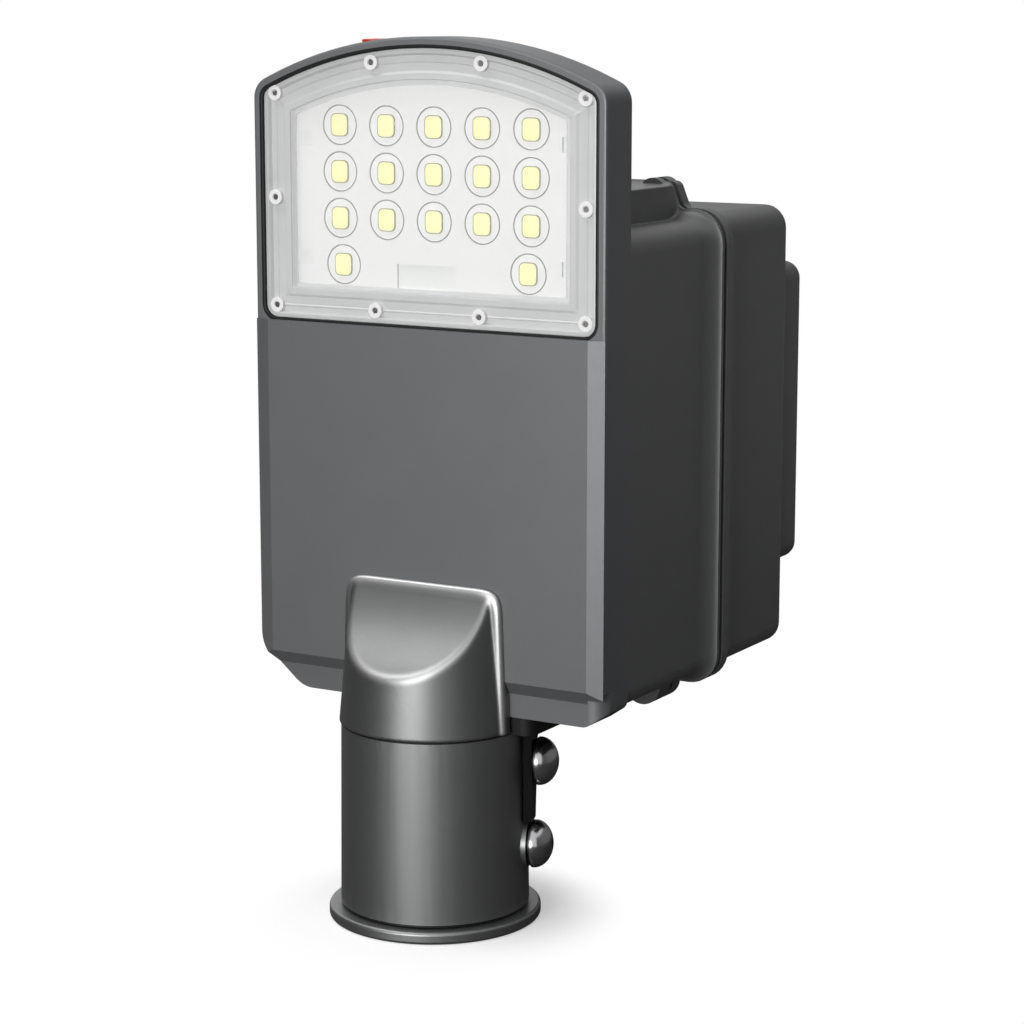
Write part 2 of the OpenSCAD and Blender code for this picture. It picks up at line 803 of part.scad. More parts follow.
module neck_shoulders(top, t) {
    x = neck_radius(neck_top) - t;
    slab(concat(
        [[-neck_r - 2, neck_z - over], [neck_r + 2, neck_z - over], [neck_r + 2, top - 22]],
        corner([x + 2, top - 22], [x, top], [0, top], neck_corner_r - t / 2),
        corner([0, top], [-x, top], [-x - 2, top - 22], neck_corner_r - t / 2),
        [[-neck_r - 2, top - 22]]
    ), -neck_r - over, 0);
}

module behind_front() {
    rotate([90, 0, 90])
        translate([0, 0, -neck_r - over])
            linear_extrude(2 * (neck_r + over))
                polygon(front_profile(over));
}

module neck() {
    color("dimgray")
        difference() {
            union() {
                neck_form(0);
                neck_edge();
            }
            behind_front();
            translate([-neck_r, foot_y, neck_z - over])
                cube([2 * neck_r, neck_r, head_z - neck_z + 2 * over]);
            difference() {
                neck_form(neck_wall);
                block([-neck_r, -neck_r, neck_z], [neck_r, 0, neck_z + neck_wall]);
                for (p = neck_screw_places)
                    rod_y(p.x, p.y, 5, panel_y - 13, over);
            }
            for (p = neck_screw_places)
                rod_y(p.x, p.y, 2.5 + running_gap, panel_y - 8, over);
            for (p = socket_screw_places)
                translate([p.x, p.y, neck_z - over])
                    cylinder(r = 3 + running_gap, h = neck_wall + 2 * over);
        }
}

module neck_screws() {
    color("silver")
        for (p = neck_screw_places)
            screw_y(p.x, p.y, neck_head_y(p.y), -1, 2.5, neck_head_y(p.y) - panel_y + 7.5, 4.5, 3);
}

// The screw heads lie on the lamp's inner face, which lies further back under the driver's hollow
function neck_head_y(z) = z < hollow_z ? foot_y + head_wall : panel_back;

module saddle() {
    front = foot_y + 1;
    color([0.07, 0.07, 0.07])
        difference() {
            union() {
                translate([0, 0, socket_h])
                    linear_extrude(saddle_h)
                        saddle_outline(front, saddle_back);
                translate([0, 0, socket_h])
                    linear_extrude(saddle_h + case_rise)
                        intersection() {
                            saddle_outline(front, saddle_back);
                            translate([-saddle_w, head_back + fit_gap])
                                square([2 * saddle_w, saddle_back]);
                        }
                rotate([0, 0, clamp_angle])
                    tongue();
            }
            translate([0, 0, -over])
                cylinder(r = socket_r + tongue_gap, h = socket_h + over);
            on_clamp_axis(clamp_heights[1])
                cylinder(r = clamp_shank_r + running_gap, h = 3 * socket_r);
            for (p = socket_screw_places)
                translate([p.x, p.y, socket_h - over])
                    cylinder(r = 3 + running_gap, h = saddle_h + over - 1);
            for (p = saddle_screw_places)
                translate([p.x, p.y, socket_h - over])
                    cylinder(r = 2.5 + running_gap, h = saddle_h + case_rise + 2 * over);
        }
}

// The flat-faced tongue that runs down beside the socket, with its fillet under the plate
module tongue() {
    r = 3.2;
    low = clamp_z + clamp_head_r + 0.6;
    rotate([90, 0, 0])
        translate([0, 0, -tongue_w / 2])
            linear_extrude(tongue_w)
                polygon(concat(
                    [[pole_bore_r, socket_h + 1], [pole_bore_r, low], [tongue_r, low], [tongue_r, socket_h - r - 0.8]],
                    arc([tongue_r + 1.6 + r, socket_h - r], r, 180, 90, arc_steps),
                    [[tongue_r + 1.6 + r, socket_h + 1]]
                ));
}

module saddle_outline(front, back) {
    x = saddle_w / 2;
    polygon(concat(
        corner([x, back], [x, front], [-x, front], 5),
        corner([x, front], [-x, front], [-x, back], 5),
        corner([-x, front], [-x, back], [x, back], 8),
        corner([-x, back], [x, back], [x, front], 8)
    ));
}

module saddle_screws() {
    color("silver")
        for (p = saddle_screw_places)
            translate([p.x, p.y, case_z + case_wall])
                rotate([180, 0, 0])
                    cap_screw(2.5, case_wall + saddle_h, 4.25, 4);
}

// A cap screw along Z: the head lies under z = 0 and the shank points up
module cap_screw(shank_r, shank_l, head_r, head_h) {
    difference() {
        union() {
            translate([0, 0, -head_h])
                cylinder(r = head_r, h = head_h);
            cylinder(r = shank_r, h = shank_l);
        }
        translate([0, 0, -head_h - over])
            cylinder(r = shank_r * 0.9, h = over + head_h * 0.6, $fn = 6);
    }
}

module neck_seal() {
    color("black")
        difference() {
            translate([0, 0, socket_h])
                cylinder(r = socket_r - socket_draft - 1, h = neck_z - socket_h);
            translate([0, 0, socket_h - over])
                cylinder(r = socket_r - 6, h = 2 * over + neck_z - socket_h);
            block([-socket_r, foot_y, socket_h - over], [socket_r, socket_r, neck_z + over]);
        }
}

module pole_socket() {
    foot = ring_h + bead_h;
    color("dimgray")
        difference() {
            union() {
                translate([0, 0, foot])
                    cylinder(r1 = socket_r, r2 = socket_r - socket_draft, h = socket_h - foot);
                cylinder(r = spigot_r, h = foot + eps);
                on_clamp_axis(clamp_z)
                    cylinder(r = washer_r + 0.4, h = boss_r);
            }
            translate([0, 0, -over])
                cylinder(r = pole_bore_r, h = socket_h - stop_plate_t + over);
            for (z = clamp_heights)
                on_clamp_axis(z)
                    cylinder(r = clamp_shank_r + running_gap, h = 3 * socket_r);
            for (p = socket_screw_places)
                translate([p.x, p.y, 0]) {
                    cylinder(r = 5.2, h = socket_h - 2);
                    cylinder(r = 3 + hole_gap, h = socket_h + over);
                }
        }
}

module socket_screws() {
    color("silver")
        for (p = socket_screw_places)
            translate([p.x, p.y, socket_h - 2])
                cap_screw(3, saddle_h, 5, 6);
}

module socket_bead() {
    color("black")
        translate([0, 0, ring_h])
            rotate_extrude()
                polygon(concat([[spigot_r + 0.1, 0]],
                    arc([socket_r - 1.2, bead_h / 2], bead_h / 2, -90, 90, arc_steps),
                    [[spigot_r + 0.1, bead_h]]));
}

module socket_ring() {
    edge = 0.7;
    color("dimgray")
        rotate_extrude()
            polygon([
                [spigot_r + running_gap, 0], [ring_r - edge, 0], [ring_r, edge],
                [ring_r, ring_h - edge], [ring_r - edge, ring_h], [spigot_r + running_gap, ring_h]
            ]);
}

// Clamp screws, each with a washer that stays on it

function washer_x(i) = [boss_r, tongue_r][i] + clamp_travel;
function head_x(i) = washer_x(i) + washer_t + 0.02;
screw_tip = pole_bore_r + 0.2;

module clamp_washer(i) {
    color("silver")
        on_clamp_axis(clamp_heights[i])
            translate([0, 0, washer_x(i)])
                difference() {
                    cylinder(r = washer_r, h = washer_t);
                    translate([0, 0, -over])
                        cylinder(r = clamp_shank_r + running_gap, h = washer_t + 2 * over);
                }
}

module clamp_screw(i) {
    dome_h = clamp_head_h - clamp_collar_h;
    head_x = head_x(i);
    color([0.25, 0.25, 0.26])
        on_clamp_axis(clamp_heights[i])
            difference() {
                union() {
                    translate([0, 0, screw_tip])
                        cylinder(r = clamp_shank_r, h = head_x - screw_tip + eps);
                    translate([0, 0, head_x])
                        rotate_extrude()
                            polygon(concat(
                                [[0, 0], [clamp_head_r - 0.4, 0], [clamp_head_r, 0.4]],
                                [for (a = [0 : 7.5 : 90])
                                    [clamp_head_r * cos(a), clamp_collar_h + dome_h * sin(a)]]
                            ));
                }
                translate([0, 0, head_x + clamp_head_h - 3.4])
                    cylinder(r = clamp_hex / sqrt(3), h = 4, $fn = 6);
            }
}

module clamp_washer_upper() {
    clamp_washer(1);
}

module clamp_washer_lower() {
    clamp_washer(0);
}

module clamp_screw_upper() {
    clamp_screw(1);
}

module clamp_screw_lower() {
    clamp_screw(0);
}

// Battery case

module case_front_cavity() {
    slab(box_pts(-half_w + case_wall, half_w - case_wall, case_z + case_wall, case_top - case_wall,
        case_low_r - case_wall, case_top_r - case_wall), case_front + case_wall, seal_front + over);
    slab(box_pts(-ear_x + 10, ear_x - 10, case_top - 20, block_top - case_wall, 1, 1),
        case_front + case_wall, seal_front + over);
}

// An ear's round end with its foot sunk in the rim
module ear(p, y0, y1) {
    up = p.y > case_top;
    r = up ? ear_top_r : ear_low_r;
    rod_y(p.x, p.y, r, y0, y1);
    if (!up)
        block([p.x - r, y0, p.y], [p.x + r, y1, case_z + 1]);
}

module battery_case_front() {
    rim = rim_pts(0);
    body = case_pts();
    color("dimgray")
        difference() {
            union() {
                slab(body, case_front, seal_front - flare_d);
                skin(concat(
                    [ring_at(body, seal_front - flare_d - over)],
                    [for (i = [0 : 7])
                        let (a = 90 * i / 7)
                        ring_at(mix(body, rim, 1 - cos(a)), seal_front - 1.8 - (flare_d - 1.8) * (1 - sin(a)))],
                    [ring_at(rim, seal_front)]
                ));
                for (p = ear_places)
                    ear(p, seal_front - (p.y > case_top ? 4 : 9), seal_front);
            }
            case_front_cavity();
            for (p = ear_places)
                rod_y(p.x, p.y, ear_screw_r + running_gap, seal_front - (p.y > case_top ? 14 : 8), seal_front + over);
            for (p = case_mount_places)
                rod_y(p.x, p.y, 2 + hole_gap, case_front - over, case_front + case_wall + over);
            for (p = saddle_screw_places)
                translate([p.x, p.y, case_z - over])
                    cylinder(r = 2.5 + hole_gap, h = case_wall + 2 * over);
            rod_y(0, panel_z + 30, 6 + hole_gap, case_front - over, case_front + case_wall + over);
            for (p = strap_places)
                rod_y(p.x, p.y, 2 + running_gap, case_front + case_wall, case_front + case_wall + over);
        }
    color("dimgray")
        difference() {
            for (p = strap_places)
                rod_y(p.x, p.y, 5, case_front + case_wall - eps, strap_y);
            for (p = strap_places)
                rod_y(p.x, p.y, 2 + running_gap, case_front + case_wall, strap_y + over);
        }
}

module case_gasket() {
    color("black")
        difference() {
            union() {
                slab(rim_pts(case_seal_in), seal_front, seal_back);
                for (p = ear_places)
                    intersection() {
                        ear(p, seal_front, seal_back);
                        slab(rim_pts(0.6), seal_front, seal_back);
                    }
            }
            slab(box_pts(-half_w + case_wall, half_w - case_wall, case_z + case_wall, case_top - case_wall,
                case_low_r - case_wall, case_top_r - case_wall), seal_front - over, seal_back + over);
            slab(box_pts(-ear_x + 10, ear_x - 10, case_top - 20, block_top - case_wall, 1, 1),
                seal_front - over, seal_back + over);
            for (p = ear_places)
                rod_y(p.x, p.y, ear_screw_r + hole_gap, seal_front - over, seal_back + over);
        }
}

module battery_case_rear() {
    flange_back = seal_back + flange_t;
    color("dimgray")
        difference() {
            union() {
                skin([
                    ring_at(rim_pts(0), seal_back),
                    ring_at(rim_pts(0), flange_back - 0.6),
                    ring_at(rim_pts(0.6), flange_back)
                ]);
                for (p = ear_places)
                    ear(p, seal_back, flange_back);
                skin(concat(
                    [ring_at(rear_pts(0), flange_back - over)],
                    [for (i = [0 : 7])
                        let (a = 90 * i / 7)
                        ring_at(rear_pts(back_edge_r * (1 - cos(a))), case_back - back_edge_r * (1 - sin(a)))]
                ));
            }
            slab(box_pts(-half_w + case_wall, half_w - case_wall, case_z + case_wall, case_top - case_wall,
                case_low_r - case_wall, case_top_r - case_wall), seal_back - over, case_back - case_wall);
            block([-52, case_back - case_wall - over, cover_z + 20],
                [52, case_back + over, cover_z + cover_h - 20]);
            for (p = ear_places)
                rod_y(p.x, p.y, ear_screw_r + hole_gap, seal_back - over, flange_back + over);
            for (p = cover_screw_places)
                rod_y(p.x, p.y, 1.5 + running_gap, case_back - 8, case_back + over);
            translate([-inlet_x, inlet_y, case_z - over])
                cylinder(r = inlet_thread_r + hole_gap, h = case_wall + 2 * over);
        }
    color("dimgray")
        for (p = cover_screw_places)
            difference() {
                rod_y(p.x, p.y, 4, case_back - 9, case_back - case_wall + eps);
                rod_y(p.x, p.y, 1.5 + running_gap, case_back - 8, case_back);
            }
}

// The rear half's section, drawn in by d
function rear_pts(d) =
    box_pts(-half_w + d, half_w - d, case_z + d, case_top + rear_up - d, case_low_r - d * 0.6, case_top_r - d * 0.6);

module ear_screws() {
    y = seal_back + flange_t;
    color("silver")
        for (p = ear_places)
            difference() {
                screw_y(p.x, p.y, y, -1, ear_screw_r, flange_t + case_seal_t + 6, ear_top_r - 1.5, 3);
                rod_y(p.x, p.y, 1.4, y + 1.2, y + 4);
            }
}

module case_mount_screws() {
    y = case_front + case_wall;
    color("silver")
        for (p = case_mount_places)
            screw_y(p.x, p.y, y, -1, 2, case_wall + 5, 4, 2.6);
}

// Rear cover and charge controller

module controller_cover() {
    e = 3;
    color("dimgray")
        difference() {
            skin(concat(
                [ring_at(cover_pts(0), cover_y)],
                [for (i = [0 : 4])
                    let (a = 90 * i / 4)
                    ring_at(cover_pts(e * (1 - cos(a))), cover_back - e * (1 - sin(a)))]
            ));
            difference() {
                slab(cover_pts(cover_wall), cover_y - over, cover_back - cover_wall);
                for (p = cover_screw_places)
                    rod_y(p.x, p.y, cover_boss_r, cover_y - 2 * over, cover_back);
            }
            for (p = cover_screw_places) {
                rod_y(p.x, p.y, 1.5 + hole_gap, cover_y - over, cover_back);
                rod_y(p.x, p.y, 3.2, cover_back - 3, cover_back + over);
            }
        }
}

function cover_pts(d) =
    box_pts(-cover_w / 2 + d, cover_w / 2 - d, cover_z + d, cover_z + cover_h - d,
        max(cover_corner_r - d, 1), max(cover_corner_r - d, 1));

module cover_gasket() {
    color("black")
        difference() {
            slab(cover_pts(0.8), case_back, cover_y);
            difference() {
                slab(cover_pts(4), case_back - over, cover_y + over);
                for (p = cover_screw_places)
                    rod_y(p.x, p.y, cover_boss_r, case_back - 2 * over, cover_y + 2 * over);
            }
            for (p = cover_screw_places)
                rod_y(p.x, p.y, 1.5 + hole_gap, case_back - over, cover_y + over);
        }
}

module cover_screws() {
    color("silver")
        for (p = cover_screw_places)
            difference() {
                screw_y(p.x, p.y, cover_back - 3, -1, 1.5, cover_d - 3 + 6, 2.8, 1.8);
                rod_y(p.x, p.y, 1, cover_back - 2.2, cover_back);
            }
}

board_y = cover_y + 2;
board_w = 90;
board_h = 62;
board_z = cover_z + (cover_h - board_h) / 2;
board_places = [for (sx = [-1, 1], sz = [0, 1]) [sx * (board_w / 2 - 4), board_z + 4 + sz * (board_h - 8)]];

module charge_controller() {
    color("darkgreen")
        difference() {
            union() {
                block([-board_w / 2, board_y, board_z], [board_w / 2, board_y + board_t, board_z + board_h]);
                for (p = board_places)
                    rod_y(p.x, p.y, 3, board_y + board_t - eps, cover_back - cover_wall);
            }
            for (p = board_places)
                rod_y(p.x, p.y, 1.5 + hole_gap, board_y - over, cover_back - cover_wall + over);
        }
}

module controller_parts() {
    y1 = board_y + board_t;
    color("gray") {
        block([-34, y1, board_z + 14], [-20, y1 + 4.5, board_z + 28]);
        block([4, y1, board_z + 30], [22, y1 + 4, board_z + 44]);
        for (i = [0 : 5])
            block([-28 + 9.6 * i, y1, board_z + 2], [-20 + 9.6 * i, y1 + 5, board_z + 10]);
        for (i = [0 : 2])
            rod_y(-8 + 9 * i, board_z + 20, 3.2, y1, y1 + 5);
    }
}

module controller_screws() {
    color("silver")
        for (p = board_places)
            screw_y(p.x, p.y, board_y, 1, 1.5, cover_back - cover_wall - board_y, 2.8, 1.6);
}

// Battery pack

module battery_cells() {
    color("royalblue")
        for (p = cell_places) {
            rod_y(p.x, p.y, cell_r, pack_front + holder_web, pack_front + holder_web + cell_l - 1.5);
            rod_y(p.x, p.y, cell_r * 0.35, pack_front + holder_web, pack_front + holder_web + cell_l);
        }
}

// A grid plate with a pocket for the end of each cell; out is the side of its web
module cell_holder(y0, out) {
    web0 = out < 0 ? y0 : y0 + holder_t - holder_web;
    color("darkslategray")
        difference() {
            slab(box_pts(-pack_w / 2, pack_w / 2, pack_z0, pack_z1, 3, 3), y0, y0 + holder_t);
            for (p = cell_places) {
                rod_y(p.x, p.y, cell_r + 0.1, out < 0 ? y0 + holder_web : y0 - over,
                    out < 0 ? y0 + holder_t + over : y0 + holder_t - holder_web);
                rod_y(p.x, p.y, cell_r * 0.62, web0 - over, web0 + holder_web + over);
            }
        }
}

module cell_holder_front() {
    cell_holder(pack_front, -1);
}

module cell_holder_rear() {
    cell_holder(pack_back - holder_t, 1);
}

module nickel_strips() {
    x = 1.5 * cell_pitch + 8;
    color("silver")
        for (k = [0 : 3]) {
            z0 = cell_low_z + k * cell_pitch - nickel_w / 2;
            block([-x, pack_front - strip_t, z0], [x, pack_front, z0 + nickel_w]);
            block([-x, pack_back, z0], [x, pack_back + strip_t, z0 + nickel_w]);
        }
}

bms_z = pack_z1;
bms_w = 100;
bms_y = pack_front + holder_t;

module bms_board() {
    color("darkgreen")
        block([-bms_w / 2, pack_front, bms_z], [bms_w / 2, pack_back, bms_z + board_t]);
}

module bms_parts() {
    z = bms_z + board_t;
    color("gray") {
        for (i = [0 : 5])
            block([-42 + 12 * i, bms_y + 6, z], [-34 + 12 * i, bms_y + 16, z + 4.4]);
        block([-10, bms_y + 26, z], [6, bms_y + 38, z + 2]);
        for (i = [0 : 1])
            block([20 + 12 * i, bms_y + 30, z], [28 + 12 * i, bms_y + 44, z + 8]);
    }
}

// Two steel straps over the pack, each with its foot screwed to the case's front wall
strap_w = 10;
strap_foot_w = 12;
strap_t = 1;
strap_y = pack_front - strip_t - strap_t;
strap_x = pack_w / 2 - strap_w / 2;
strap_places = [for (s = [-1, 1]) [s * strap_x, pack_z1 + 9]];

module pack_strap() {
    color("silver")
        difference() {
            union()
                for (s = [-1, 1]) {
                    block([s * strap_x - strap_foot_w / 2, strap_y, pack_z1 - 6],
                        [s * strap_x + strap_foot_w / 2, strap_y + strap_t, pack_z1 + 15]);
                    block([s * strap_x - strap_w / 2, strap_y, pack_z1],
                        [s * strap_x + strap_w / 2, pack_back, pack_z1 + strap_t]);
                }
            for (p = strap_places)
                rod_y(p.x, p.y, 2 + hole_gap, strap_y - over, strap_y + 2 * over);
        }
}

module strap_screws() {
    y = strap_y + strap_t;
    color("silver")
        for (p = strap_places)
            screw_y(p.x, p.y, y, -1, 2, y - case_front - case_wall - 1, 4, 2.6);
}

module cable_grommet() {
    z = panel_z + 30;
    color("black")
        difference() {
            union() {
                rod_y(0, z, 6, case_front - 0.8, case_front + case_wall + 0.8);
                rod_y(0, z, 8.5, case_front - 1.6, case_front);
                rod_y(0, z, 8.5, case_front + case_wall, case_front + case_wall + 1.6);
            }
            rod_y(0, z, 3, case_front - 3, case_front + case_wall + 3);
        }
}

// Push button in the arched top

button_y = 6.5;
button_top = head_top - arch_r + sqrt(arch_r * arch_r - button_x * button_x) + button_out;
button_seat = button_top - button_out - 5.6;
button_low = button_seat - 6.6;
button_thread_r = 4;
button_seal_t = 0.4;
cap_low = button_top - 3.6;
plunger_l = 5;

module button_bores() {
    translate([-button_x, button_y, button_seat])
        cylinder(r = button_r + fit_gap, h = 20);
    translate([-button_x, button_y, button_low - 0.4])
        cylinder(r = button_thread_r + running_gap, h = 20);
    rod_y(-button_x, button_low - 0.4, 1.2, button_y, head_back + fin_out);
}

// Solid metal round the button, in the hollow behind the lamp's top
module button_boss() {
    translate([-button_x, button_y, button_low - 2])
        cylinder(r = 8, h = 30);
}

module button_cap() {
    color("orangered")
        translate([-button_x, button_y, 0])
            rotate_extrude()
                polygon([
                    [0, cap_low - plunger_l], [plunger_r, cap_low - plunger_l], [plunger_r, cap_low],
                    [button_r - 1.6, cap_low],
                    [button_r - 0.2, button_top - 0.7], [button_r, button_top - 0.5], [button_r - 0.4, button_top],
                    [0, button_top + 0.25]
                ]);
}

module button_body() {
    collar_z = button_seat + button_seal_t;
    color([0.12, 0.12, 0.12])
        translate([-button_x, button_y, 0])
            difference() {
                union() {
                    translate([0, 0, collar_z])
                        cylinder(r = button_r - 0.8, h = cap_low - button_travel - 0.15 - collar_z);
                    translate([0, 0, button_low])
                        cylinder(r = button_thread_r, h = collar_z - button_low + eps);
                }
                translate([0, 0, cap_low - plunger_l - button_travel - 0.4])
                    cylinder(r = plunger_r + running_gap, h = 12);
            }
}

module button_seal() {
    color("black")
        translate([-button_x, button_y, button_seat])
            difference() {
                cylinder(r = button_r - 0.8, h = button_seal_t);
                translate([0, 0, -over])
                    cylinder(r = button_thread_r + running_gap, h = 3);
            }
}

// Waterproof inlet for the solar panel's cable

inlet_y = seal_back + 34;
inlet_nut_h = 4;
inlet_hex_h = 5;

module inlet_body() {
    color([0.12, 0.12, 0.12])
        translate([-inlet_x, inlet_y, case_z])
            difference() {
                union() {
                    cylinder(r = inlet_thread_r, h = case_wall + inlet_nut_h + 2);
                    translate([0, 0, -inlet_hex_h])
                        cylinder(r = 9, h = inlet_hex_h, $fn = 6);
                    translate([0, 0, -inlet_hex_h - 7])
                        cylinder(r = inlet_thread_r, h = 8);
                }
                translate([0, 0, -inlet_hex_h - 8])
                    cylinder(r = inlet_bore_r + 1.5, h = 40);
            }
}

module inlet_cap() {
    low = -inlet_hex_h - inlet_cap_h;
    color([0.12, 0.12, 0.12])
        translate([-inlet_x, inlet_y, case_z])
            difference() {
                union() {
                    translate([0, 0, low])
                        cylinder(r1 = 6, r2 = 8.6, h = 3);
                    translate([0, 0, low + 3])
                        cylinder(r = 9, h = inlet_cap_h - 3.2, $fn = 6);
                }
                translate([0, 0, low + 2])
                    cylinder(r = inlet_thread_r + 0.05, h = inlet_cap_h);
                translate([0, 0, low - over])
                    cylinder(r = inlet_bore_r + 0.5, h = 5);
            }
}

module inlet_insert() {
    low = -inlet_hex_h - inlet_cap_h + 2;
    color("black")
        translate([-inlet_x, inlet_y, case_z])
            difference() {
                union() {
                    translate([0, 0, low])
                        cylinder(r = inlet_thread_r - 0.1, h = 1.8);
                    translate([0, 0, low + 1.7])
                        cylinder(r = inlet_bore_r + 1.45, h = 9);
                }
                translate([0, 0, low - over])
                    cylinder(r = inlet_bore_r, h = 20);
            }
}

module inlet_nut() {
    color([0.12, 0.12, 0.12])
        translate([-inlet_x, inlet_y, case_z + case_wall])
            difference() {
                cylinder(r = 9, h = inlet_nut_h, $fn = 6);
                translate([0, 0, -over])
                    cylinder(r = inlet_thread_r + 0.05, h = inlet_nut_h + 2 * over);
            }
}

lamp_housing();
lens_cover();
lens_gasket();
lens_screws();
reflector();
led_board();
leds();
led_lenses();
led_driver();
driver_parts();
driver_screws();
neck();
neck_screws();
saddle();
saddle_screws();
neck_seal();
pole_socket();
socket_screws();
socket_bead();
socket_ring();
clamp_washer_upper();
clamp_washer_lower();
clamp_screw_upper();
clamp_screw_lower();
battery_case_front();
case_gasket();
battery_case_rear();
ear_screws();
case_mount_screws();
controller_cover();
cover_gasket();
cover_screws();
charge_controller();
controller_parts();
controller_screws();
battery_cells();
cell_holder_front();
cell_holder_rear();
nickel_strips();
bms_board();
bms_parts();
pack_strap();
strap_screws();
cable_grommet();
button_cap();
button_body();
button_seal();
inlet_body();
inlet_cap();
inlet_insert();
inlet_nut();
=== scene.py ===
import json
import math

import bmesh
import bpy
from mathutils import Matrix, Vector


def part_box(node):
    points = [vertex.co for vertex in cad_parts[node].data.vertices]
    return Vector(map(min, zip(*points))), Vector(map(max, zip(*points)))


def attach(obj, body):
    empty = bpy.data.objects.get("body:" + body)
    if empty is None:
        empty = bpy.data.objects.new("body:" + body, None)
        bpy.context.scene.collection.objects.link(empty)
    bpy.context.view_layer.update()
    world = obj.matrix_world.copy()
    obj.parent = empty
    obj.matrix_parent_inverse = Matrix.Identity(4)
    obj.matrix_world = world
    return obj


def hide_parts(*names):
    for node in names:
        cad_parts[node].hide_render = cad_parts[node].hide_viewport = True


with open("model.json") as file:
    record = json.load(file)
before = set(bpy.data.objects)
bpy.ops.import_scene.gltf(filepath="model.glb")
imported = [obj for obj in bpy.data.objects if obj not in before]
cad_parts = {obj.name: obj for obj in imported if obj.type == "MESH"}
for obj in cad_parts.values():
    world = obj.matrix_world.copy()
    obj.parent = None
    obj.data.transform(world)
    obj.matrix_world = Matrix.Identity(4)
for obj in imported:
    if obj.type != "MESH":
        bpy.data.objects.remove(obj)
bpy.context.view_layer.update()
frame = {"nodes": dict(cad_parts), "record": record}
print("frame loaded:", len(frame["nodes"]), "nodes")


def mm(value):
    return value / 1000


# sRGB hex to the linear colour that the shaders take
def lin(hexColour):
    parts = [int(hexColour[i:i + 2], 16) / 255 for i in (1, 3, 5)]
    return tuple(c / 12.92 if c <= 0.04045 else ((c + 0.055) / 1.055) ** 2.4 for c in parts) + (1.0,)


def addNode(tree, kind, settings=None, inputs=None):
    node = tree.nodes.new(kind)
    for key, value in (settings or {}).items():
        setattr(node, key, value)
    for key, value in (inputs or {}).items():
        if isinstance(value, bpy.types.NodeSocket):
            tree.links.new(value, node.inputs[key])
        else:
            node.inputs[key].default_value = value
    return node


def addObject(name, data):
    thing = bpy.data.objects.new(name, data)
    bpy.context.scene.collection.objects.link(thing)
    return thing


def newMaterial(name):
    material = bpy.data.materials.new(name)
    material.use_nodes = True
    material.node_tree.nodes.clear()
    return material, material.node_tree


def closeMaterial(tree, shader):
    addNode(tree, "ShaderNodeOutputMaterial", inputs={"Surface": shader.outputs[0]})


noiseLow, noiseHigh = 0.3, 0.7  # most of a noise texture's values lie between these

# powder coats: the two greys of the mottling, the share of aluminium flakes, the width and strength of the orange peel;
# on the neck, the colour of a painted highlight along its rims
headCoat = {"dark": "#6a6c6e", "light": "#707274", "roughness": 0.5, "specular": 0.5,
            "flakes": 0.5, "peelMm": 1.3, "peel": 0.05}
neckCoat = {"dark": "#727373", "light": "#7a7b7b", "roughness": 0.44, "specular": 0.5,
            "flakes": 0.9, "peelMm": 1.3, "peel": 0.05, "paintedHighlight": "#c8c8c8"}
caseCoat = {"dark": "#5a5b5b", "light": "#5f6060", "roughness": 0.46, "specular": 0.7,
            "flakes": 0.0, "peelMm": 1.3, "peel": 0.05}
socketCoat = {"dark": "#828383", "light": "#8a8b8b", "roughness": 0.44, "specular": 0.5,
              "flakes": 0.95, "peelMm": 1.3, "peel": 0.04}
bracketCoat = {"dark": "#0c0c0c", "light": "#111111", "roughness": 0.6, "specular": 0.3,
               "flakes": 0.0, "peelMm": 1.5, "peel": 0.06}
coatGrain = {"mottleMm": 22, "grainMm": 0.7, "glossSpread": 0.03, "peelDepthMm": 0.3}


# polyester powder coat on die-cast aluminium: satin, with a faint orange peel and soft mottling; where it holds
# aluminium flakes, round forms show one bright streak and dark flanks. Its grain is drawn coarser than it is, to show
def powderCoat(name, look):
    material, tree = newMaterial(name)
    place = addNode(tree, "ShaderNodeTexCoord").outputs["Object"]
    mottle = addNode(tree, "ShaderNodeTexNoise", inputs={
        "Vector": place, "Scale": 1 / mm(coatGrain["mottleMm"]), "Detail": 3.0})
    grain = addNode(tree, "ShaderNodeTexNoise", inputs={
        "Vector": place, "Scale": 1 / mm(coatGrain["grainMm"]), "Detail": 2.0})
    peel = addNode(tree, "ShaderNodeTexNoise", inputs={
        "Vector": place, "Scale": 1 / mm(look["peelMm"]), "Detail": 2.0})
    # a Mix node for colours has its factor at input 0, its colours at 6 and 7 and the result at output 2
    colour = addNode(tree, "ShaderNodeMix", {"data_type": "RGBA"},
                     {0: mottle.outputs[0], 6: lin(look["dark"]), 7: lin(look["light"])})
    rough = addNode(tree, "ShaderNodeMapRange", inputs={
        "Value": grain.outputs[0], "From Min": noiseLow, "From Max": noiseHigh,
        "To Min": look["roughness"] - coatGrain["glossSpread"],
        "To Max": look["roughness"] + coatGrain["glossSpread"]})
    bump = addNode(tree, "ShaderNodeBump", inputs={
        "Strength": look["peel"], "Distance": mm(coatGrain["peelDepthMm"]), "Height": peel.outputs[0]})
    if "paintedHighlight" in look:  # a painted highlight: the neck's rims lightened where the light catches them
        highlightMask = addNode(tree, "ShaderNodeAttribute", {"attribute_name": "paintedHighlight"})
        colour = addNode(tree, "ShaderNodeMix", {"data_type": "RGBA"},
                         {0: highlightMask.outputs["Fac"], 6: colour.outputs[2], 7: lin(look["paintedHighlight"])})
    shader = addNode(tree, "ShaderNodeBsdfPrincipled", inputs={
        "Base Color": colour.outputs[2], "Roughness": rough.outputs[0], "Normal": bump.outputs[0],
        "Specular IOR Level": look["specular"], "Metallic": look["flakes"]})
    closeMaterial(tree, shader)
    return material


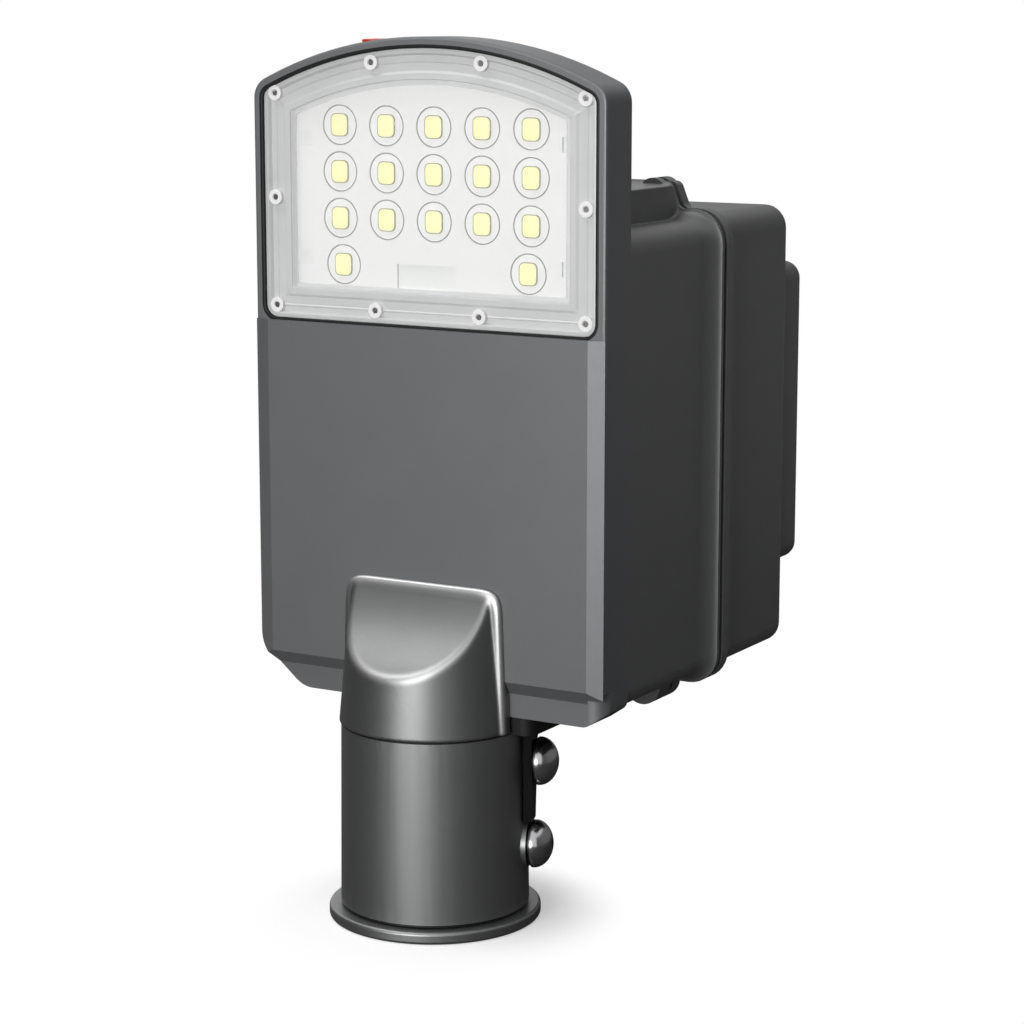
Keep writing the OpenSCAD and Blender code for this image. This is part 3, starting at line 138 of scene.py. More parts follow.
plastics = {
    "reflectorWhite": {"colour": "#ebebea", "roughness": 0.5, "specular": 0.3},  # white polycarbonate sheet, matt
    "boardWhite": {"colour": "#e6e8e6", "roughness": 0.5, "specular": 0.3},  # white solder resist, even and matt
    "phosphor": {"colour": "#fffcb2", "roughness": 0.35, "specular": 0.4},  # phosphor in silicone, pale yellow
    "diodeFrameShade": {"colour": "#8d8863", "roughness": 0.5, "specular": 0.3},  # the diode's frame, olive: a painted shade line round the chip
    "sealRubber": {"colour": "#0b0b0b", "roughness": 0.55, "specular": 0.3},  # silicone rubber, dull black
    "screwWhite": {"colour": "#f2f2f1", "roughness": 0.3, "specular": 0.5},  # stove enamel on the screws, satin
    "buttonRed": {"colour": "#c92a12", "roughness": 0.3, "specular": 0.5},  # glossy red ABS
    "mouldedBlack": {"colour": "#101010", "roughness": 0.45, "specular": 0.4},  # nylon, black with a soft sheen
    "solderGreen": {"colour": "#0f4a26", "roughness": 0.35, "specular": 0.5},  # green solder resist, glossy
    "componentGrey": {"colour": "#29292b", "roughness": 0.5, "specular": 0.4},  # epoxy, dark and matt
    "cellWrap": {"colour": "#16388c", "roughness": 0.3, "specular": 0.5},  # shrunk PVC, blue and glossy
}
mouldedGrain = {"grainMm": 1.2, "lowShare": 0.94, "glossSpread": 0.04}


# moulded or printed surfaces: even colour, with the fine grain of the tool's surface in its gloss
def moulded(name, look):
    material, tree = newMaterial(name)
    place = addNode(tree, "ShaderNodeTexCoord").outputs["Object"]
    grain = addNode(tree, "ShaderNodeTexNoise", inputs={
        "Vector": place, "Scale": 1 / mm(mouldedGrain["grainMm"]), "Detail": 3.0})
    base = lin(look["colour"])
    low = tuple(c * mouldedGrain["lowShare"] for c in base[:3]) + (1.0,)
    colour = addNode(tree, "ShaderNodeMix", {"data_type": "RGBA"}, {0: grain.outputs[0], 6: low, 7: base})
    rough = addNode(tree, "ShaderNodeMapRange", inputs={
        "Value": grain.outputs[0], "From Min": noiseLow, "From Max": noiseHigh,
        "To Min": look["roughness"] - mouldedGrain["glossSpread"],
        "To Max": look["roughness"] + mouldedGrain["glossSpread"]})
    shader = addNode(tree, "ShaderNodeBsdfPrincipled", inputs={
        "Base Color": colour.outputs[2], "Roughness": rough.outputs[0], "Specular IOR Level": look["specular"]})
    closeMaterial(tree, shader)
    return material


metals = {
    "stainless": {"colour": "#a9a9a8", "roughness": 0.3},  # turned stainless steel, light grey
    "nickelSheet": {"colour": "#bdb8ad", "roughness": 0.35},  # rolled nickel, warm and pale
    "gunMetal": {"colour": "#b4b4b6", "roughness": 0.2},  # polished steel, mirrors the room in clear patches
    "darkSteel": {"colour": "#4a4a4b", "roughness": 0.35},  # blackened steel, a dark line behind the domes
}
toolMarks = {"markMm": 0.5, "glossSpread": 0.05}


# turned or rolled metal: bright, with tool marks in its gloss, drawn coarser than they are
def turnedMetal(name, look):
    material, tree = newMaterial(name)
    place = addNode(tree, "ShaderNodeTexCoord").outputs["Object"]
    marks = addNode(tree, "ShaderNodeTexNoise", inputs={
        "Vector": place, "Scale": 1 / mm(toolMarks["markMm"]), "Detail": 2.0})
    rough = addNode(tree, "ShaderNodeMapRange", inputs={
        "Value": marks.outputs[0], "From Min": noiseLow, "From Max": noiseHigh,
        "To Min": look["roughness"] - toolMarks["glossSpread"],
        "To Max": look["roughness"] + toolMarks["glossSpread"]})
    shader = addNode(tree, "ShaderNodeBsdfPrincipled", inputs={
        "Base Color": lin(look["colour"]), "Metallic": 1.0, "Roughness": rough.outputs[0]})
    closeMaterial(tree, shader)
    return material


frosted = {"dark": "#c6c7c7", "light": "#d2d3d3", "hazeMm": 14, "roughness": 0.3, "specular": 0.5, "alpha": 0.84}


# injection-moulded polycarbonate: whitish and translucent where it is frosted
def frostedPolycarbonate(look):
    material, tree = newMaterial("frostedPolycarbonate")
    place = addNode(tree, "ShaderNodeTexCoord").outputs["Object"]
    haze = addNode(tree, "ShaderNodeTexNoise", inputs={
        "Vector": place, "Scale": 1 / mm(look["hazeMm"]), "Detail": 2.0})
    colour = addNode(tree, "ShaderNodeMix", {"data_type": "RGBA"},
                     {0: haze.outputs[0], 6: lin(look["dark"]), 7: lin(look["light"])})
    shader = addNode(tree, "ShaderNodeBsdfPrincipled", inputs={
        "Base Color": colour.outputs[2], "Roughness": look["roughness"],
        "Specular IOR Level": look["specular"], "Alpha": look["alpha"]})
    closeMaterial(tree, shader)
    return material


# acrylic (1.49) over the diodes, and polycarbonate (1.58) in the window; the acrylic's foot is painted grey, a painted
# shade line where the lens turns the light away
clears = {
    "acrylicDome": {"colour": "#fbfcfc", "roughness": 0.06, "ior": 1.49, "alpha": 0.12},
    "acrylicFootShade": {"colour": "#8f9192", "roughness": 0.3, "ior": 1.49, "alpha": 0.75},
    "clearPane": {"colour": "#f4f5f5", "roughness": 0.08, "ior": 1.58, "alpha": 0.1},
    # the hazy border is lighter than the pane: painted light over the shade that the frame leaves on the reflector
    "hazyBorderPaintedLight": {"colour": "#d4d5d5", "roughness": 0.3, "ior": 1.58, "alpha": 0.55},
}


# clear moulded plastic, which tones down what lies behind it and keeps a faint gloss
def clearPlastic(name, look):
    material, tree = newMaterial(name)
    shader = addNode(tree, "ShaderNodeBsdfPrincipled", inputs={
        "Base Color": lin(look["colour"]), "Roughness": look["roughness"], "IOR": look["ior"],
        "Alpha": look["alpha"]})
    closeMaterial(tree, shader)
    return material


# the finish of each material slot
paint = {
    "head_paint": powderCoat("headPowderCoat", headCoat),
    "case_paint": powderCoat("casePowderCoat", caseCoat),
    "socket_paint": powderCoat("socketPowderCoat", socketCoat),
    "bracket_black": powderCoat("bracketPowderCoat", bracketCoat),
    "lens_plastic": frostedPolycarbonate(frosted),
    "reflector_white": moulded("reflectorWhite", plastics["reflectorWhite"]),
    "led_lens_clear": clearPlastic("acrylicDome", clears["acrylicDome"]),
    "led_phosphor": moulded("phosphor", plastics["phosphor"]),
    "board_white": moulded("boardWhite", plastics["boardWhite"]),
    "board_green": moulded("solderGreen", plastics["solderGreen"]),
    "component_grey": moulded("componentGrey", plastics["componentGrey"]),
    "seal_rubber": moulded("sealRubber", plastics["sealRubber"]),
    "white_screw": moulded("screwWhite", plastics["screwWhite"]),
    "screw_steel": turnedMetal("stainless", metals["stainless"]),
    "clamp_metal": turnedMetal("gunMetal", metals["gunMetal"]),
    "cell_wrap": moulded("cellWrap", plastics["cellWrap"]),
    "holder_plastic": moulded("holderBlack", plastics["mouldedBlack"]),
    "nickel": turnedMetal("nickelSheet", metals["nickelSheet"]),
    "button_red": moulded("buttonRed", plastics["buttonRed"]),
    "button_black": moulded("buttonBlack", plastics["mouldedBlack"]),
    "inlet_nylon": moulded("inletNylon", plastics["mouldedBlack"]),
}
# finishes for a part of a slot's pieces
trim = {
    "neckCoat": powderCoat("neckPowderCoat", neckCoat),
    "acrylicFootShade": clearPlastic("acrylicFootShade", clears["acrylicFootShade"]),
    "clearPane": clearPlastic("clearPane", clears["clearPane"]),
    "hazyBorderPaintedLight": clearPlastic("hazyBorderPaintedLight", clears["hazyBorderPaintedLight"]),
    "diodeFrameShade": moulded("diodeFrameShade", plastics["diodeFrameShade"]),
    "darkSteel": turnedMetal("darkSteel", metals["darkSteel"]),
}
slotOf = {p["node"]: p["material_slot"] for p in frame["record"]["subparts"]}
bodyOf = {n: b for b, nodes in frame["record"]["behaviour"]["bodies"].items() for n in nodes}
print("materials made:", len(paint) + len(trim))


def finishOf(slotName, trimName=None):
    return trim[trimName] if trimName else paint[slotName]


def dress(piece, slotName, trimName=None):
    piece.data.materials.clear()
    piece.data.materials.append(finishOf(slotName, trimName))


for nodeName, node in frame["nodes"].items():
    dress(node, slotOf[nodeName])


def finishPiece(piece, body, slotName, nodeNames, smooth=30, trimName=None):
    piece.data.shade_smooth()
    with bpy.context.temp_override(object=piece, active_object=piece, selected_objects=[piece],
                                   selected_editable_objects=[piece]):
        bpy.ops.object.shade_smooth_by_angle(angle=math.radians(smooth))
    dress(piece, slotName, trimName)
    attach(piece, body)
    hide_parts(*nodeNames)


# rounds the sharp edges; the weighted normals keep the large faces even
def softenEdges(piece, width, angle=30, segments=3):
    bevel = piece.modifiers.new("edges", "BEVEL")
    bevel.width = mm(width)
    bevel.segments = segments
    bevel.limit_method = "ANGLE"
    bevel.angle_limit = math.radians(angle)
    bevel.miter_outer = "MITER_ARC"
    even = piece.modifiers.new("even", "WEIGHTED_NORMAL")
    even.keep_sharp = True


# turns a piece with its modifiers into a plain mesh
def makePlain(piece):
    plain = bpy.data.meshes.new_from_object(piece.evaluated_get(bpy.context.evaluated_depsgraph_get()))
    piece.modifiers.clear()
    piece.data = plain


# Cast and moulded shells: the CAD form with merged faces and softened edges

cleanUp = {"mergeMm": 0.004, "flatDegrees": 0.4}


def softCopy(nodeName, pieceName, width, angle=30):
    mesh = frame["nodes"][nodeName].data.copy()
    form = bmesh.new()
    form.from_mesh(mesh)
    bmesh.ops.remove_doubles(form, verts=form.verts, dist=mm(cleanUp["mergeMm"]))
    bmesh.ops.dissolve_limit(form, angle_limit=math.radians(cleanUp["flatDegrees"]), verts=form.verts,
                             edges=form.edges)
    form.to_mesh(mesh)
    form.free()
    piece = addObject(pieceName, mesh)
    finishPiece(piece, bodyOf[nodeName], slotOf[nodeName], [nodeName], angle)
    softenEdges(piece, width, angle)
    return piece


# the piece made from each shell, and the width of its softened edge in mm
shells = {
    "lamp_housing": ("lampHousing", 0.35),
    "saddle": ("saddleBracket", 0.4),
    "battery_case_front": ("caseFront", 0.4),
    "battery_case_rear": ("caseRear", 0.4),
    "controller_cover": ("controllerCover", 0.4),
    "pole_socket": ("poleSocket", 0.35),
    "socket_ring": ("footRing", 0.45),
    "reflector": ("reflectorSheet", 0.12),
    "button_cap": ("buttonCap", 0.3),
    "inlet_body": ("inletBody", 0.3),
    "inlet_cap": ("inletCap", 0.3),
}
for nodeName, (pieceName, width) in shells.items():
    softCopy(nodeName, pieceName, width)
print("shells made:", len(shells))


bracketLook = {"tongueAngle": 20, "tongueFromR": 36.05, "tongueBelow": 66, "tongueKeep": 0.38,
               "leftFrom": -30, "leftKeep": 0.6}


# the bracket's tongue narrows below the upper clamp screw, and its left end stays behind the neck
def trimBracket(piece):
    look = bracketLook
    turn = Matrix.Rotation(math.radians(-look["tongueAngle"]), 4, "Z")
    left = mm(look["leftFrom"])
    for vertex in piece.data.vertices:
        spot = turn @ vertex.co
        if spot.x > mm(look["tongueFromR"]) and spot.z < mm(look["tongueBelow"]):
            spot.y *= look["tongueKeep"]
            vertex.co = turn.inverted() @ spot
        if vertex.co.x < left:
            vertex.co.x = left + look["leftKeep"] * (vertex.co.x - left)


trimBracket(bpy.data.objects["saddleBracket"])


# Outlines of the lamp and the lens, in mm, as seen from the front

def boxOf(nodeName):
    return [corner * 1000 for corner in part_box(nodeName)]


headHigh = boxOf("lamp_housing")[1]
lensLow, lensHigh = boxOf("lens_cover")
boardLow = boxOf("led_board")[0]
diodeLow, diodeHigh = boxOf("leds")
screwHigh = boxOf("lens_screws")[1]

# archGap, in degrees, keeps the arch's arc off those of its corners
lampOutline = {"archR": 167, "cornerR": 8, "lensInset": 4.1, "lensCornerR": 5, "leastR": 1, "steps": 10, "archGap": 0.6}


def arcPts(centre, r, a0, a1, count):
    turns = [math.radians(a0 + (a1 - a0) * i / count) for i in range(count + 1)]
    return [(centre[0] + r * math.cos(a), centre[1] + r * math.sin(a)) for a in turns]


# the arched top at an inset from the lamp's outline, from right to left
def archPts(inset):
    r = lampOutline["archR"] - inset
    small = max(lampOutline["cornerR"] - inset, lampOutline["leastR"])
    low = headHigh.z - lampOutline["archR"]
    x = headHigh.x - inset - small
    z = low + math.sqrt((r - small) ** 2 - x * x)
    a = math.degrees(math.atan2(z - low, x))
    steps, gap = lampOutline["steps"], lampOutline["archGap"]
    return (arcPts((x, z), small, 0, a, steps) + arcPts((0, low), r, a + gap, 180 - gap - a, 6 * steps)
            + arcPts((-x, z), small, 180 - a, 180, steps))


# the lens's outline, drawn in by inset
def lensPts(inset):
    x = headHigh.x - lampOutline["lensInset"] - inset
    z = lensLow.z + inset
    r = max(lampOutline["lensCornerR"] - inset, lampOutline["leastR"])
    steps = lampOutline["steps"]
    return (archPts(lampOutline["lensInset"] + inset) + arcPts((-x + r, z + r), r, 180, 270, steps)
            + arcPts((x - r, z + r), r, 270, 360, steps))


# a closed mesh from points in mm, with its faces turned outwards
def closedMesh(name, points, faces):
    mesh = bpy.data.meshes.new(name)
    mesh.from_pydata([tuple(mm(c) for c in p) for p in points], [], faces)
    mesh.validate()
    form = bmesh.new()
    form.from_mesh(mesh)
    bmesh.ops.recalc_face_normals(form, faces=form.faces)
    form.to_mesh(mesh)
    form.free()
    return mesh


def meshPiece(name, points, faces, body, slotName, nodeNames, smooth=30, trimName=None):
    piece = addObject(name, closedMesh(name, points, faces))
    finishPiece(piece, body, slotName, nodeNames, smooth, trimName)
    return piece


# rings of equal count, one after the other; a closed loft joins the last ring to the first
def loft(rings, closed):
    count = len(rings[0])
    points = [p for ring in rings for p in ring]
    faces = []
    for k in range(len(rings) - (0 if closed else 1)):
        a, b = k * count, (k + 1) % len(rings) * count
        faces += [(a + i, a + (i + 1) % count, b + (i + 1) % count, b + i) for i in range(count)]
    if not closed:
        faces += [tuple(range(count - 1, -1, -1)), tuple(range(len(points) - count, len(points)))]
    return points, faces


# the lens's outline, drawn in by inset, at a depth y
def ringAt(inset, y):
    return [(x, y, z) for x, z in lensPts(inset)]


# in mm, from the lens's outline inwards and from its front face back
lensFrameLook = {
    "plateT": 2.2, "backIn": 0.05, "edge": 0.45, "edgeMid": 0.3,
    "bandW": 1.7, "bandEase": 0.2, "bandDrop": 0.15, "dish": 1.5, "dishIn": 2.5,
    "lineIn": 4.2, "lineW": 0.3, "lineH": 0.3, "lineSide": 0.35,
    "innerIn": 9.0, "innerEnd": 11.1, "innerH": 0.6, "innerSide": 0.9, "sill": 0.1, "sillSide": 0.3,
    "windowIn": 11.7, "borderEnd": 13.3, "windowSink": 0.2, "seam": 0.02,
    "headLip": 1.0, "lipW": 1.3, "lipOut": 0.12, "lipRound": 0.3, "lipSink": 0.3,
}


# translucent frame with a narrow outer band, a shallow dish with a fine ridge for the screws and an inner band round
# the window; then the hazy border, painted light over the frame's shade on the reflector, the clear pane, and the black
# lip round all, widened into a painted shadow
def makeLens():
    look = lensFrameLook
    front = lensHigh.y - look["plateT"]
    back, edge, band, dish, line = look["plateT"], look["edge"], look["bandW"], look["dish"], look["lineIn"]
    side, ridge, inner = look["lineSide"], look["dish"] - look["lineH"], look["dish"] - look["innerH"]
    section = [
        (look["backIn"], back), (0, edge), (edge * look["edgeMid"], edge * look["edgeMid"]), (edge, 0),
        (band, 0), (band + look["bandEase"], look["bandDrop"]), (look["dishIn"], dish),
        (line, dish), (line + side, ridge), (line + side + look["lineW"], ridge),
        (line + 2 * side + look["lineW"], dish), (look["innerIn"] - look["innerSide"], dish),
        (look["innerIn"], inner), (look["innerEnd"], inner),
        (look["innerEnd"] + look["sillSide"], dish - look["sill"]), (look["windowIn"], dish - look["sill"]),
        (look["windowIn"], back),
    ]
    sunk = dish + look["windowSink"]
    borderIn = look["windowIn"] + look["seam"]
    border = [(borderIn, back), (borderIn, dish), (look["borderEnd"], sunk), (look["borderEnd"], back)]
    window = [(look["borderEnd"] + look["seam"], sunk), (look["borderEnd"] + look["seam"], back)]
    parts = (("lensFrame", section, True, None), ("lensBorder", border, True, "hazyBorderPaintedLight"),
             ("lensWindow", window, False, "clearPane"))
    for name, outline, closed, trimName in parts:
        points, faces = loft([ringAt(d, front + y) for d, y in outline], closed)
        piece = meshPiece(name, points, faces, "lamp", "lens_plastic", ["lens_cover"], trimName=trimName)
        piece.visible_shadow = False  # a translucent piece lets the light through
    # the black lip is a real gasket, widened beyond it into a painted shadow along the gap round the lens
    low, top = -look["headLip"], -look["headLip"] - look["lipOut"]
    lip = [(-look["seam"], look["lipSink"]), (-look["seam"], low), (-look["lipRound"], top),
           (look["lipRound"] - look["lipW"], top), (-look["lipW"], low), (-look["lipW"], look["lipSink"])]
    points, faces = loft([ringAt(d, front + y) for d, y in lip], True)
    meshPiece("lensLipAndShadow", points, faces, "lamp", "seal_rubber", ["lens_gasket"])


makeLens()
print("lens made")


# Geometry Nodes: trees for the pieces that repeat, and for the neck

# how many sides their round forms have
sides = {"head": 48, "shank": 24, "corner": 7, "dome": 48, "domeRings": 20, "ring": 56, "wire": 8}
plateWeldMm = 0.01


def growTree(name, sockets):
    tree = bpy.data.node_groups.new(name, "GeometryNodeTree")
    tree.interface.new_socket("Places", in_out="INPUT", socket_type="NodeSocketGeometry")
    for label, kind in {**sockets, "Material": "Material"}.items():
        tree.interface.new_socket(label, in_out="INPUT", socket_type="NodeSocket" + kind)
    tree.interface.new_socket("Pieces", in_out="OUTPUT", socket_type="NodeSocketGeometry")
    return tree, addNode(tree, "NodeGroupInput").outputs


# ends a tree: solid meshes with their material
def closeTree(tree, given, form):
    solid = addNode(tree, "GeometryNodeRealizeInstances", inputs={"Geometry": form.outputs[0]})
    painted = addNode(tree, "GeometryNodeSetMaterial", inputs={
        "Geometry": solid.outputs[0], "Material": given["Material"]})
    addNode(tree, "NodeGroupOutput", inputs={"Pieces": painted.outputs[0]})


# ends a tree with its form on each of the places, turned the same way
def spreadForm(tree, given, form, turn):
    spots = addNode(tree, "GeometryNodeMeshToPoints", inputs={"Mesh": given["Places"]})
    copies = addNode(tree, "GeometryNodeInstanceOnPoints", inputs={
        "Points": spots.outputs[0], "Instance": form.outputs[0], "Rotation": turn})
    closeTree(tree, given, copies)


# runs a tree over its places, in mm, and keeps the result as a plain mesh
def growPiece(name, tree, places, sizes, body, slotName, nodeNames, smooth=30, trimName=None):
    mesh = bpy.data.meshes.new(name)
    mesh.from_pydata([tuple(mm(c) for c in p) for p in places], [], [])
    piece = addObject(name, mesh)
    grow = piece.modifiers.new("grow", "NODES")
    grow.node_group = tree
    sizes = dict(sizes, Material=finishOf(slotName, trimName))
    for socket in tree.interface.items_tree:
        if socket.in_out == "INPUT" and socket.name in sizes:
            grow[socket.identifier] = sizes[socket.name]
    makePlain(piece)
    finishPiece(piece, body, slotName, nodeNames, smooth, trimName)
    return piece


towardsFront = (math.pi / 2, 0, 0)  # turns a form that stands on Z to face -Y


# heads with a socket and a plain shank
def screwTree():
    tree, given = growTree("screws", {
        "Head Radius": "Float", "Head Height": "Float", "Shank Radius": "Float", "Shank Length": "Float",
        "Socket Radius": "Float", "Socket Depth": "Float", "Socket Sides": "Int", "Socket Turn": "Float"})
    head = addNode(tree, "GeometryNodeMeshCylinder", inputs={
        "Vertices": sides["head"], "Radius": given["Head Radius"], "Depth": given["Head Height"]})
    half = addNode(tree, "ShaderNodeMath", {"operation": "MULTIPLY"}, {0: given["Head Height"], 1: 0.5})
    rise = addNode(tree, "ShaderNodeCombineXYZ", inputs={"Z": half.outputs[0]})
    head = addNode(tree, "GeometryNodeTransform", inputs={
        "Geometry": head.outputs["Mesh"], "Translation": rise.outputs[0]})
    prism = addNode(tree, "GeometryNodeMeshCylinder", inputs={
        "Vertices": given["Socket Sides"], "Radius": given["Socket Radius"], "Depth": given["Socket Depth"]})
    lift = addNode(tree, "ShaderNodeCombineXYZ", inputs={"Z": given["Head Height"]})
    twist = addNode(tree, "ShaderNodeCombineXYZ", inputs={"Z": given["Socket Turn"]})
    prism = addNode(tree, "GeometryNodeTransform", inputs={
        "Geometry": prism.outputs["Mesh"], "Translation": lift.outputs[0], "Rotation": twist.outputs[0]})
    cut = addNode(tree, "GeometryNodeMeshBoolean", {"operation": "DIFFERENCE", "solver": "EXACT"},
                  {"Mesh 1": head.outputs[0], "Mesh 2": prism.outputs[0]})
    shank = addNode(tree, "GeometryNodeMeshCylinder", inputs={
        "Vertices": sides["shank"], "Radius": given["Shank Radius"], "Depth": given["Shank Length"]})
    sink = addNode(tree, "ShaderNodeMath", {"operation": "MULTIPLY"}, {0: given["Shank Length"], 1: -0.5})
    down = addNode(tree, "ShaderNodeCombineXYZ", inputs={"Z": sink.outputs[0]})
    shank = addNode(tree, "GeometryNodeTransform", inputs={
        "Geometry": shank.outputs["Mesh"], "Translation": down.outputs[0]})
    whole = addNode(tree, "GeometryNodeJoinGeometry", inputs={"Geometry": cut.outputs[0]})
    tree.links.new(shank.outputs[0], whole.inputs["Geometry"])
    spreadForm(tree, given, whole, towardsFront)
    return tree


# rounded plates: a filleted rectangle, filled and drawn out
def plateTree():
    tree, given = growTree("roundedPlates", {"Width": "Float", "Height": "Float", "Corner": "Float", "Depth": "Float"})
    outline = addNode(tree, "GeometryNodeCurvePrimitiveQuadrilateral", inputs={
        "Width": given["Width"], "Height": given["Height"]})
    outline = addNode(tree, "GeometryNodeFilletCurve", {"mode": "POLY"}, {
        "Curve": outline.outputs[0], "Count": sides["corner"], "Radius": given["Corner"]})
    sheet = addNode(tree, "GeometryNodeFillCurve", {"mode": "NGONS"}, {"Curve": outline.outputs[0]})
    drawn = addNode(tree, "GeometryNodeExtrudeMesh", inputs={
        "Mesh": sheet.outputs[0], "Offset": (0, 0, 1), "Offset Scale": given["Depth"], "Individual": False})
    under = addNode(tree, "GeometryNodeFlipFaces", inputs={"Mesh": sheet.outputs[0]})
    whole = addNode(tree, "GeometryNodeJoinGeometry", inputs={"Geometry": drawn.outputs[0]})
    tree.links.new(under.outputs[0], whole.inputs["Geometry"])
    whole = addNode(tree, "GeometryNodeMergeByDistance", inputs={
        "Geometry": whole.outputs[0], "Distance": mm(plateWeldMm)})
    spreadForm(tree, given, whole, towardsFront)
    return tree


# small domed lenses: a ball whose lower half, from just under its middle ring, is pressed flat to the lens's foot
def domeTree():
    tree, given = growTree("domes", {"Radius": "Float", "Height": "Float", "Foot": "Float"})
    ball = addNode(tree, "GeometryNodeMeshUVSphere", inputs={
        "Segments": sides["dome"], "Rings": sides["domeRings"], "Radius": 1.0})
    place = addNode(tree, "GeometryNodeInputPosition")
    part = addNode(tree, "ShaderNodeSeparateXYZ", inputs={0: place.outputs[0]})
    below = addNode(tree, "ShaderNodeMath", {"operation": "LESS_THAN"}, {0: part.outputs["Z"], 1: -0.01})
    above = addNode(tree, "ShaderNodeMath", {"operation": "MAXIMUM"}, {0: part.outputs["Z"], 1: 0.0})
    rise = addNode(tree, "ShaderNodeMath", {"operation": "MULTIPLY"}, {0: above.outputs[0], 1: given["Height"]})
    drop = addNode(tree, "ShaderNodeMath", {"operation": "MULTIPLY"}, {0: below.outputs[0], 1: given["Foot"]})
    level = addNode(tree, "ShaderNodeMath", {"operation": "SUBTRACT"}, {0: rise.outputs[0], 1: drop.outputs[0]})
    across = addNode(tree, "ShaderNodeMath", {"operation": "MULTIPLY"}, {0: part.outputs["X"], 1: given["Radius"]})
    along = addNode(tree, "ShaderNodeMath", {"operation": "MULTIPLY"}, {0: part.outputs["Y"], 1: given["Radius"]})
    shaped = addNode(tree, "ShaderNodeCombineXYZ", inputs={
        "X": across.outputs[0], "Y": along.outputs[0], "Z": level.outputs[0]})
    dome = addNode(tree, "GeometryNodeSetPosition", inputs={
        "Geometry": ball.outputs["Mesh"], "Position": shaped.outputs[0]})
    spreadForm(tree, given, dome, towardsFront)
    return tree


# thin round rings: a grey painted shade line at the foot of each small lens
def ringTree():
    tree, given = growTree("rings", {"Radius": "Float", "Thickness": "Float"})
    path = addNode(tree, "GeometryNodeCurvePrimitiveCircle", inputs={
        "Resolution": sides["ring"], "Radius": given["Radius"]})
    wire = addNode(tree, "GeometryNodeCurvePrimitiveCircle", inputs={
        "Resolution": sides["wire"], "Radius": given["Thickness"]})
    ring = addNode(tree, "GeometryNodeCurveToMesh", inputs={
        "Curve": path.outputs[0], "Profile Curve": wire.outputs[0]})
    spreadForm(tree, given, ring, towardsFront)
    return tree


screwLook = {
    "head": 2.9, "headH": 1.7, "headEdge": 0.35, "shank": 1.5, "socket": 1.35, "socketDepth": 1.0, "socketSides": 6,
    "socketTurn": 0.3, "proud": 1.55,
    "in": 4.6, "archX": 23.5, "archRise": 0.9, "sideRise": 45.3, "cornerDrop": 21.1, "cornerIn": 0.3, "footX": 22.5,
    "floorW": 2.1, "floorCorner": 0.9, "floorT": 0.06, "floorLift": 0.02,
}


# the ten white screws round the lens, and the steel floor of their sockets
def makeLensScrews():
    look = screwLook
    side = headHigh.x - lampOutline["lensInset"] - look["in"]
    low = headHigh.z - lampOutline["archR"]
    archZ = low + look["archRise"] - lampOutline["lensInset"] - look["in"] + math.sqrt(
        lampOutline["archR"] ** 2 - look["archX"] ** 2)
    face = lensHigh.y - lensFrameLook["plateT"] + lensFrameLook["dish"] - look["proud"]
    seat = face + look["headH"]
    spots = [(side, lensLow.z + look["in"]), (side, lensLow.z + look["sideRise"]),
             (side - look["cornerIn"], headHigh.z - look["cornerDrop"]), (look["archX"], archZ),
             (look["footX"], lensLow.z + look["in"])]
    places = [(s * x, seat, z) for s in (-1, 1) for x, z in spots]
    screws = growPiece("lensScrews", screwTree(), places, {
        "Head Radius": mm(look["head"]), "Head Height": mm(look["headH"]), "Shank Radius": mm(look["shank"]),
        "Shank Length": mm(screwHigh.y - seat), "Socket Radius": mm(look["socket"]),
        "Socket Depth": mm(look["socketDepth"]), "Socket Sides": look["socketSides"],
        "Socket Turn": look["socketTurn"]}, "lamp", "white_screw", ["lens_screws"])
    softenEdges(screws, look["headEdge"])
    floors = [(x, face + look["socketDepth"] / 2 - look["floorLift"], z) for x, y, z in places]
    growPiece("lensScrewFloors", plateTree(), floors, {
        "Width": mm(look["floorW"]), "Height": mm(look["floorW"]), "Corner": mm(look["floorCorner"]),
        "Depth": mm(look["floorT"])}, "lamp", "screw_steel", ["lens_screws"])


diodeLook = {
    "pitchX": 20.6, "pitchZ": 17.3, "cadH": 7.6, "lastInX": 1.2,
    "width": 7.2, "height": 8.2, "corner": 2.1, "frame": 0.32, "sunk": 1.7,
    "chipSink": 0.2, "chipT": 0.32, "chipCorner": 1.9, "chipEdge": 0.1, "seat": 0.8, "seatRound": 0.01, "gap": 0.02,
    "domeR": 7.3, "domeH": 3.3, "foot": 1.0, "ring": 0.17, "ringOut": 0.12, "ringIn": 0.05,
}


